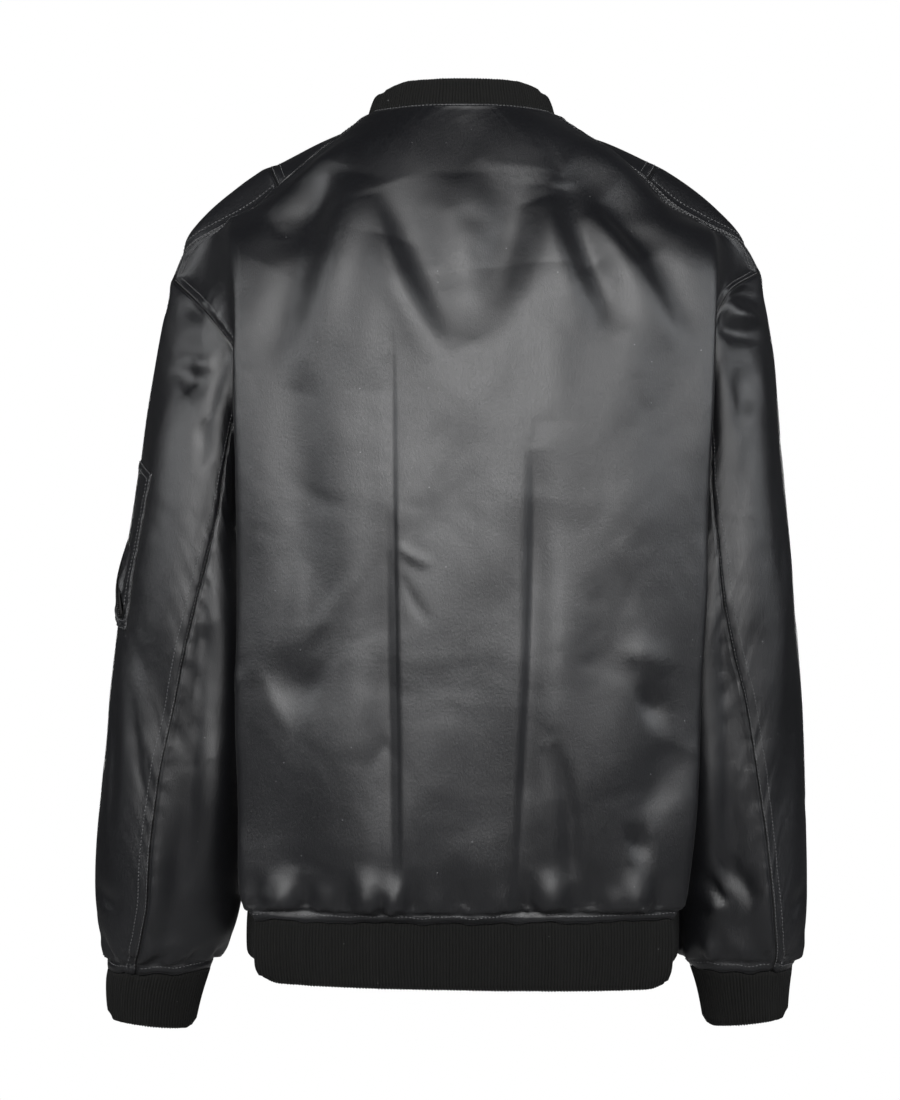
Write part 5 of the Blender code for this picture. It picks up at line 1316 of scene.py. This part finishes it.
def row_at(grid, normal, edge, gap, trim=0.004):
    """A line on the cloth at a set distance from one edge, with its normals, cut short at both ends."""
    g, n = edge_first(grid, edge), edge_first(normal, edge)
    run = runs(g)[0]
    low = np.clip((run <= gap).sum(0) - 1, 0, len(g) - 2)
    c = np.arange(g.shape[1])
    t = ((gap - run[low, c]) / (run[low + 1, c] - run[low, c]))[:, None]
    line, facing = g[low, c] * (1 - t) + g[low + 1, c] * t, n[low, c] * (1 - t) + n[low + 1, c] * t
    return trimmed(line, facing, trim)


def trimmed(line, facing, trim):
    """A line and its normals, cut short by a distance at both ends and taken to stitch-sized steps."""
    run = run_along(line)
    at = np.linspace(trim, run[-1] - trim, max(2, int((run[-1] - 2 * trim) / STITCH)))
    return read_line(line, run, at), read_line(facing, run, at)


# %% Stitches as small bodies
# One stitch: share of its length, share of the thread's radius and depth at five stations.
STATIONS = table("along thick deep", (-0.37, 0.25, -0.9), (-0.27, 0.8, -0.1), (0.0, 1.0, 0.35),
                 (0.27, 0.8, -0.1), (0.37, 0.25, -0.9))
stitch_rows = {}


def stitches(group):
    """All of a group's stitches as one mesh: rings of four corners at five stations, pointed ends."""
    rows = stitch_rows[group]
    at = np.concatenate([(line[1:] + line[:-1]) / 2 for line, _ in rows])
    way = np.concatenate([line[1:] - line[:-1] for line, _ in rows])
    up = unit(np.concatenate([(facing[1:] + facing[:-1]) / 2 for _, facing in rows]))
    side = unit(np.cross(way, up))
    turn = np.radians([45, 135, 225, 315])
    s, r, d = STATIONS["along"], STATIONS["thick"] * THREAD, STATIONS["deep"] * THREAD
    points = (at[:, None, None] + way[:, None, None] * s[None, :, None, None]
              + side[:, None, None] * (r[:, None] * np.cos(turn))[None, ..., None]
              + up[:, None, None] * (d[:, None] + r[:, None] * np.sin(turn))[None, ..., None])
    one = grid_faces(5, 4, wrap_columns=True)
    ends = np.array([[3, 2, 1, 0], [16, 17, 18, 19]])
    every = copies(np.concatenate([one, ends])[:, ::-1], 20, len(at))
    return make_piece("stitching_" + group, points, [every], thread_stuff), len(at)


# %% Sew the seams
normals = {name: normals_of(grid) for name, grid in pieces_of_cloth.items()}


SEAM_ROWS = (0.0014, LAP + 0.0010)         # the two rows of a felled seam, by distance from the panel's edge
NECK_ROW, ZIP_ROW = 0.0016, 0.0055
BODY_PANELS = ("back", "front_left", "front_right")


def sew(group, grid, normal, edge, gaps, trim=0.004):
    """Adds rows of stitches along one edge of a grid to a group."""
    stitch_rows.setdefault(group, []).extend(row_at(grid, normal, edge, gap, trim) for gap in gaps)


def sew_edge(group, name, edge, gaps):
    """The same on an edge of a panel, by name."""
    sew(group, pieces_of_cloth[name], normals[name], edge, gaps)


for name in BODY_PANELS:
    sew_edge("hem", name, "bottom", (FLANGE_ROW,))
sew_edge("shoulders", "back", "top", (NECK_ROW,))
for word in SIDES.values():
    sew_edge("shoulders", "yoke_" + word, "bottom", (NECK_ROW, LAP + 0.0008))
    sew_edge("shoulders", "yoke_" + word, "top", (NECK_ROW,))
    sew_edge("front_edges", "yoke_" + word, "last", (ZIP_ROW,))
    sew_edge("front_edges", "front_" + word, "last", (ZIP_ROW,))
    for part, edge, gaps in (("upper", "first", SEAM_ROWS), ("upper", "last", SEAM_ROWS),
                             ("upper", "top", (FLANGE_ROW,)), ("under", "top", (FLANGE_ROW,))):
        sew_edge("sleeves_" + word, f"sleeve_{word}_{part}", edge, gaps)
# The armhole's rows lie along the middle part of the body panels' side edges, the shoulder's along the rest.
row_underarm, row_tip = len(spans[0]) - 1, len(spans[0]) + len(spans[1]) - 2
for name in BODY_PANELS:
    grid, normal = pieces_of_cloth[name], normals[name]
    for edge in ("first", "last") if name == "back" else ("first",):
        for part in (slice(row_underarm, row_tip + 1), slice(row_tip, None)):
            sew("armholes", grid[part], normal[part], edge, SEAM_ROWS, 0.003)
made = {group: stitches(group) for group in stitch_rows}
stitching = {group: piece for group, (piece, _) in made.items()}
print("stitches:", {group: count for group, (_, count) in made.items()})

# %% [markdown]
# ## Front zip
#
# The zip is two woven tapes, each with a row of metal teeth on its edge. Closed, the teeth of one side sit
# between those of the other. One tooth is worked out from its outline and placed five hundred times along
# the line of the closed front, turned a little with it.

# %% Line and tapes of the front zip
TOOTH_PITCH, TAPE_STEP = 0.0026, 0.004
TAPE_ACROSS = table("x deep", (0.0008, 0.0030), (0.0022, 0.0034), (0.0050, 0.0036), (0.0080, 0.0036),
                    (0.0110, 0.0036), (0.0130, 0.0037))


def zip_line():
    """Points of the closed front on the cloth's outer face, from the hem's edge to the collar's top."""
    hem, neck = (np.stack([line[0] for line in lines]) for lines in (hem_lines[::-1], collar_lines[1:]))
    return np.concatenate([hem, front_base[1][1:, -1], neck]) * np.array([0.0, 1.0, 1.0])


def frames_along(line, pitch, start=0.0, end=0.0):
    """Points at even steps along a line in the Y-Z plane, with the way along it and the way out of it."""
    run = run_along(line)
    point = read_line(line, run, np.arange(start, run[-1] - end, pitch))
    way = unit(np.gradient(point, axis=0))
    return point, way, np.stack([0 * way[:, 0], -way[:, 2], way[:, 1]], -1)


def tape_strip(name, side, line):
    """A tape: from the teeth's feet out to its woven edge, a little behind the cloth."""
    point, way, out = frames_along(line, TAPE_STEP, TAPE_STEP / 2, TAPE_STEP / 2)
    x = TAPE_ACROSS["x"] * side
    deep = out[:, None] * TAPE_ACROSS["deep"][None, :, None]
    grid = point[:, None] + np.stack([x, 0 * x, 0 * x], -1)[None] - deep
    uv = uv_grid(x, np.arange(len(point)) * TAPE_STEP)
    return cloth_piece(name, grid, np.broadcast_to(out[:, None], grid.shape), tape, uv, 0.0007)


# %% Teeth of the front zip, and the box at its foot
# Outline of one tooth, x towards its own side and s along the chain, then its layers: depth and size.
TOOTH = table("x s", (0.0034, -0.00050), (0.0034, 0.00050), (0.0016, 0.00048), (0.0004, 0.00078),
              (-0.0008, 0.00070), (-0.0012, 0.00030), (-0.0012, -0.00030), (-0.0008, -0.00070),
              (0.0004, -0.00078), (0.0016, -0.00048))
TOOTH_LAYERS = table("out size", (-0.0034, 0.92), (-0.0002, 1.0), (0.0005, 0.78))
BOX_STATIONS = table("along size", (-1, 0.01), (-1, 0.72), (-0.96, 0.9), (-0.85, 1), (0.85, 1), (0.96, 0.9),
                     (1, 0.72), (1, 0.01))


def teeth(name, point, way, out, across, material, scale=1.0, lift=0.0):
    """Teeth on both sides of a line: those of one side stand half a step further on than the other's."""
    x, s = TOOTH["x"], TOOTH["s"]
    local = np.stack([np.stack([x * size, s * size, np.full(len(x), deep)], -1)
                      for deep, size in zip(*TOOTH_LAYERS.values())]) * scale
    step = np.linalg.norm(point[1] - point[0])
    made = []
    for side, ahead in ((1, 0.0), (-1, 0.5)):
        at = point + way * (ahead * step) + out * lift
        body = (at[:, None, None] + (side * across)[:, None, None] * local[None, ..., :1]
                + way[:, None, None] * local[None, ..., 1:2] + out[:, None, None] * local[None, ..., 2:])
        made.append(body if side > 0 else body[:, :, ::-1])
    points = np.concatenate(made)
    sides = grid_faces(len(local), len(x), wrap_columns=True)
    ends = np.stack([np.arange(len(x))[::-1], np.arange(len(x)) + (len(local) - 1) * len(x)])
    turned = outward(sides, points[0], points[0] - points[0].mean((0, 1)))
    ends = ends if turned is sides else ends[:, ::-1]
    every = [copies(one, local[..., 0].size, len(points)) for one in (turned, ends)]
    return make_piece(name, points, every, material, smooth=False)


closed_front = zip_line()
tapes = [tape_strip("front_zip_tape_" + word, side, closed_front) for side, word in SIDES.items()]
point, way, out = frames_along(closed_front, TOOTH_PITCH, 0.012, 0.006)
across = np.tile([1.0, 0.0, 0.0], (len(point), 1))
front_teeth = teeth("front_zip_teeth", point, way, out, across, metal)


def end_box(name, at, way, out, half, material):
    """A small box with round edges: sections of a superellipse of power 4 across the zip, at eight stations
    that close in at both ends. half is half its width, depth and length."""
    turn = np.linspace(0, 2 * math.pi, 25)[:-1]
    wave = np.stack([np.cos(turn), np.sin(turn)])
    wave = (np.sign(wave) * np.abs(wave) ** 0.5)[..., None]
    s, size = BOX_STATIONS["along"][:, None, None], BOX_STATIONS["size"][:, None, None]
    points = at + way * half[2] * s + size * (wave[0] * np.array([half[0], 0, 0]) + wave[1] * (out * half[1]))
    faces = outward(grid_faces(*points.shape[:2], wrap_columns=True), points, points - points.mean((0, 1)))
    return make_piece(name, points, [faces], material)


BOX_HALF = (0.0042, 0.0021, 0.0058)         # half the box's width, depth and length
foot, ahead, up = (found[1] for found in frames_along(closed_front, 0.0065))
zip_box = end_box("front_zip_box", foot - up * 0.0012, ahead, up, BOX_HALF, metal)
print("front zip:", len(point) * 2, "teeth over", round(len(point) * TOOTH_PITCH, 3), "m")

# %% [markdown]
# ## Sleeve pocket
#
# A patch of satin lies on the left sleeve, sewn down on all sides, with a zip set in at a slant. Its lower
# end hangs open a little and puffs out. It is worked out on the sleeve's own surface, so it follows the
# folds underneath, and its own form is a height over that.

# %% Where the pocket lies
POCKET_LEVELS, POCKET_COLUMNS = (3.5, 6.0), (-4.0, 3.0)
POCKET_SWELL = (0, 0, 0.0003, 0.0036, 0.0012)     # how far the patch swells, from its top to its bottom
POCKET_ZIP = (0.16, -2.7, 0.94, 2.4)              # share of the rows and column at both ends of the zip
POCKET_ROWS, POCKET_CELLS, ZIP_STEPS = 76, 64, 61
POCKET_TOOTH_PITCH = 0.0019


def read_grid(grid, r, c):
    """The grid read between its points, at arrays of row and column numbers."""
    i, j = np.clip(r.astype(int), 0, grid.shape[0] - 2), np.clip(c.astype(int), 0, grid.shape[1] - 2)
    u, v = (r - i)[..., None], (c - j)[..., None]
    return (grid[i, j] * (1 - u) * (1 - v) + grid[i, j + 1] * (1 - u) * v + grid[i + 1, j] * u * (1 - v)
            + grid[i + 1, j + 1] * u * v)


sleeve, sleeve_normal = pieces_of_cloth["sleeve_left_upper"], normals["sleeve_left_upper"]
levels, columns = sleeve_places[1, "upper"]


def on_sleeve(share, col):
    """Point and normal of the sleeve by share of the pocket's height and sleeve column."""
    level = POCKET_LEVELS[0] + share * (POCKET_LEVELS[1] - POCKET_LEVELS[0])
    r, c = np.interp(level, levels, np.arange(len(levels))), np.interp(col, columns, np.arange(len(columns)))
    return read_grid(sleeve, r, c), read_grid(sleeve_normal, r, c)


print("pocket between sleeve levels", POCKET_LEVELS)

# %% Pocket patch
share, col = np.meshgrid(np.linspace(0, 1, POCKET_ROWS), np.linspace(*POCKET_COLUMNS, POCKET_CELLS),
                         indexing="ij")
ground, ground_normal = on_sleeve(share, col)
gap = np.minimum.reduce(edge_gaps(ground))
s1, c1, s2, c2 = POCKET_ZIP
zip_share = np.linspace(s1, s2, ZIP_STEPS)
zip_ground, zip_out = on_sleeve(zip_share, c1 + (c2 - c1) * (zip_share - s1) / (s2 - s1))
gaps = np.linalg.norm(ground[:, :, None] - zip_ground[None, None], axis=-1)
zip_gap, along_zip = gaps.min(-1), gaps.argmin(-1) / (ZIP_STEPS - 1)
arch = np.sin(np.linspace(0.25, math.pi - 0.25, POCKET_CELLS))[None, :]
swell = through(np.arange(5), POCKET_SWELL, share[:, 0] * 4)[:, None] * arch
wide = 0.0030 + 0.0022 * smooth_step((along_zip - 0.8) / 0.15)
slit = smooth_step((wide + 0.0012 - zip_gap) / 0.0016)
lips = 0.0010 * np.exp(-((zip_gap - wide - 0.0026) / 0.0022) ** 2)
across = col * 0.011      # metres across the patch: a sleeve column is 11 mm wide here
wrinkle = 0.0011 * waves(across, 205, 0.007, 0.03) * smooth_step((share - 0.35) / 0.35) * fading(gap, 0.012)
height = 0.0002 + 0.0007 * smooth_step(gap / 0.0016) + swell * fading(gap, 0.006) + wrinkle
height += 0.5 * seam_relief(gap, across + share * 0.13, 207, 0.006) + lips * fading(gap, 0.01)
height -= 0.0012 * slit
patch = ground + ground_normal * height[..., None]
down, along = runs(patch)
pocket = cloth_piece("sleeve_pocket_cloth", patch, ground_normal, satin, np.stack([along, -down], -1), 0.0009,
                     {"seam": np.minimum(gap, np.abs(zip_gap - wide))})
patch_normal = normals_of(patch)
for edge in ("bottom", "top", "first", "last"):
    for inset in (0.0017, LAP):
        sew("pocket", patch, patch_normal, edge, (inset,), inset)
stitching["pocket"], count = stitches("pocket")
print("pocket patch", patch.shape[:2], "with", count, "stitches")

# %% Pocket zip
face_height = 0.0020 + through(np.arange(5), POCKET_SWELL, zip_share * 4) * 0.9
line = zip_ground + zip_out * face_height[:, None]
run = run_along(line)
at = np.arange(0.002, run[-1] - 0.002, POCKET_TOOTH_PITCH)
point, out = read_line(line, run, at), unit(read_line(zip_out, run, at))
way = unit(np.gradient(point, axis=0))
across = np.cross(way, out)
pocket_teeth = teeth("pocket_zip_teeth", point, way, out, across, metal, 0.62, 0.0006)
x = np.linspace(-0.0046, 0.0046, 7)
strip = point[:, None] + across[:, None] * x[None, :, None] - out[:, None] * 0.0006
pocket_tape = cloth_piece("pocket_zip_tape", strip, np.broadcast_to(out[:, None], strip.shape), tape,
                          uv_grid(x, at), 0.0006)
print("pocket zip:", len(at) * 2, "teeth over", round(float(run[-1]), 3), "m")

# %% [markdown]
# ## Ride and replace
#
# Each new piece hides the solid of the frame that it stands for and moves with the jacket's body. The
# sliders and pulls are solids of the right shape already. They only get their metal.

# %% What each piece stands for
for name, piece in {**satin_pieces, **bands}.items():
    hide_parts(name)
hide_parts("sleeve_pocket")
for piece in [*tapes, front_teeth, zip_box]:
    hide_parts("front_zip")
for piece in (pocket_teeth, pocket_tape):
    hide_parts("pocket_zip")
dressed = [*satin_pieces.values(), *bands.values(), pocket, *tapes, front_teeth, zip_box, pocket_teeth,
           pocket_tape, *stitching.values()]
for piece in dressed:
    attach(piece, "jacket")
for name in ("front_zip_slider", "front_zip_pull", "pocket_zip_slider", "pocket_zip_pull"):
    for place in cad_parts[name].material_slots:
        place.material = metal
print("triangles added:", sum(triangles(piece) for piece in dressed))

# %% [markdown]
# ## Stage, light and camera
#
# Black satin shows only what it mirrors, so the light decides its look. One large soft light stands behind
# the wearer and a little over the jacket: cloth that faces it turns grey, and cloth that turns up or away
# stays black. A dimmer one hangs over it for the shoulder blades, two at the sides draw the sleeves, and
# one stands in front of the wearer. Everything round the jacket is one even white: the floor glows for the
# camera and the world is white for it, but both are nearly dark for the cloth.

# %% Stage
def floor_disc():
    """A disc 1.42 m under the neck: x = r cos(a), y = r sin(a), for four radii and 64 angles."""
    turn, radius = np.linspace(0, 2 * math.pi, 65)[:-1], np.array([0.02, 1.0, 3.0, 7.0])
    x, y = radius[:, None] * np.cos(turn), radius[:, None] * np.sin(turn)
    return np.stack([x, y, np.full(x.shape, -1.42)], -1)


stage_white, tree, shader, where = principled("pale_stage", (0.22, 0.22, 0.22), 0.9)
shade = colour_between(tree, noise(tree, where, 6.0, 2.0), (0.20, 0.20, 0.20), (0.25, 0.25, 0.25))
tree.links.new(shade, shader.inputs["Base Color"])
glow = put(tree, "Emission", Color=(1.0, 1.0, 1.0, 1.0), Strength=1.0)
seen = put(tree, "LightPath").outputs["Is Camera Ray"]
mixed = put(tree, "MixShader", in1=seen)
tree.links.new(shader.outputs[0], mixed.inputs[1])
tree.links.new(glow.outputs[0], mixed.inputs[2])
tree.links.new(mixed.outputs[0], tree.nodes["Material Output"].inputs["Surface"])
disc = floor_disc()
upwards = np.broadcast_to([0.0, 0.0, 1.0], disc.shape)
faces = outward(grid_faces(*disc.shape[:2], wrap_columns=True), disc, upwards)
stage = make_piece("stage_floor", disc, [faces], stage_white)

# %% Lights, world and camera
def soft_light(name, place, aim, size, power, colour=(1.0, 1.0, 1.0)):
    """A rectangular area light that looks at a point."""
    data = bpy.data.lights.new(name, "AREA")
    data.shape, data.size, data.size_y, data.energy = "RECTANGLE", size[0], size[1], power
    data.color = colour
    light = bpy.data.objects.new(name, data)
    light.location, light.visible_camera = place, False
    away = np.array(place, float) - np.array(aim, float)
    yaw, pitch = math.atan2(away[1], away[0]), math.atan2(away[2], math.hypot(away[0], away[1]))
    light.rotation_euler = (math.pi / 2 - pitch, 0, yaw + math.pi / 2)
    bpy.context.scene.collection.objects.link(light)
    return light


soft_light("light_behind", (0.0, 2.5, 0.30), (0.0, 0.1, -0.25), (2.8, 1.15), 84)
soft_light("light_above", (0.0, 2.1, 1.70), (0.0, 0.1, -0.1), (2.8, 1.1), 17)
soft_light("light_left", (2.3, 1.0, 0.38), (0.2, 0.0, -0.22), (1.2, 1.1), 25, (0.97, 0.985, 1.0))
soft_light("light_right", (-2.3, 1.0, 0.38), (-0.2, 0.0, -0.22), (1.2, 1.1), 27, (0.95, 0.975, 1.0))
soft_light("light_in_front", (0.0, -2.5, -0.25), (0.0, -0.1, -0.35), (2.0, 1.1), 52)
world = bpy.data.worlds.new("room")
world.use_nodes = True
tree = world.node_tree
seen = put(tree, "LightPath").outputs["Is Camera Ray"]
tree.links.new(colour_between(tree, seen, (0.018, 0.0185, 0.020), (1.0, 1.0, 1.0)),
               tree.nodes["Background"].inputs["Color"])
bpy.context.scene.world = world
bpy.context.scene.view_settings.view_transform = "Standard"

data = bpy.data.cameras.new("camera")
data.lens, data.sensor_width = 87.8, 36.0
camera = bpy.data.objects.new("camera", data)
camera.location, camera.rotation_euler = (0.0107, 2.2, -0.366), (math.pi / 2, 0, math.pi)
bpy.context.scene.collection.objects.link(camera)
bpy.context.scene.camera = camera
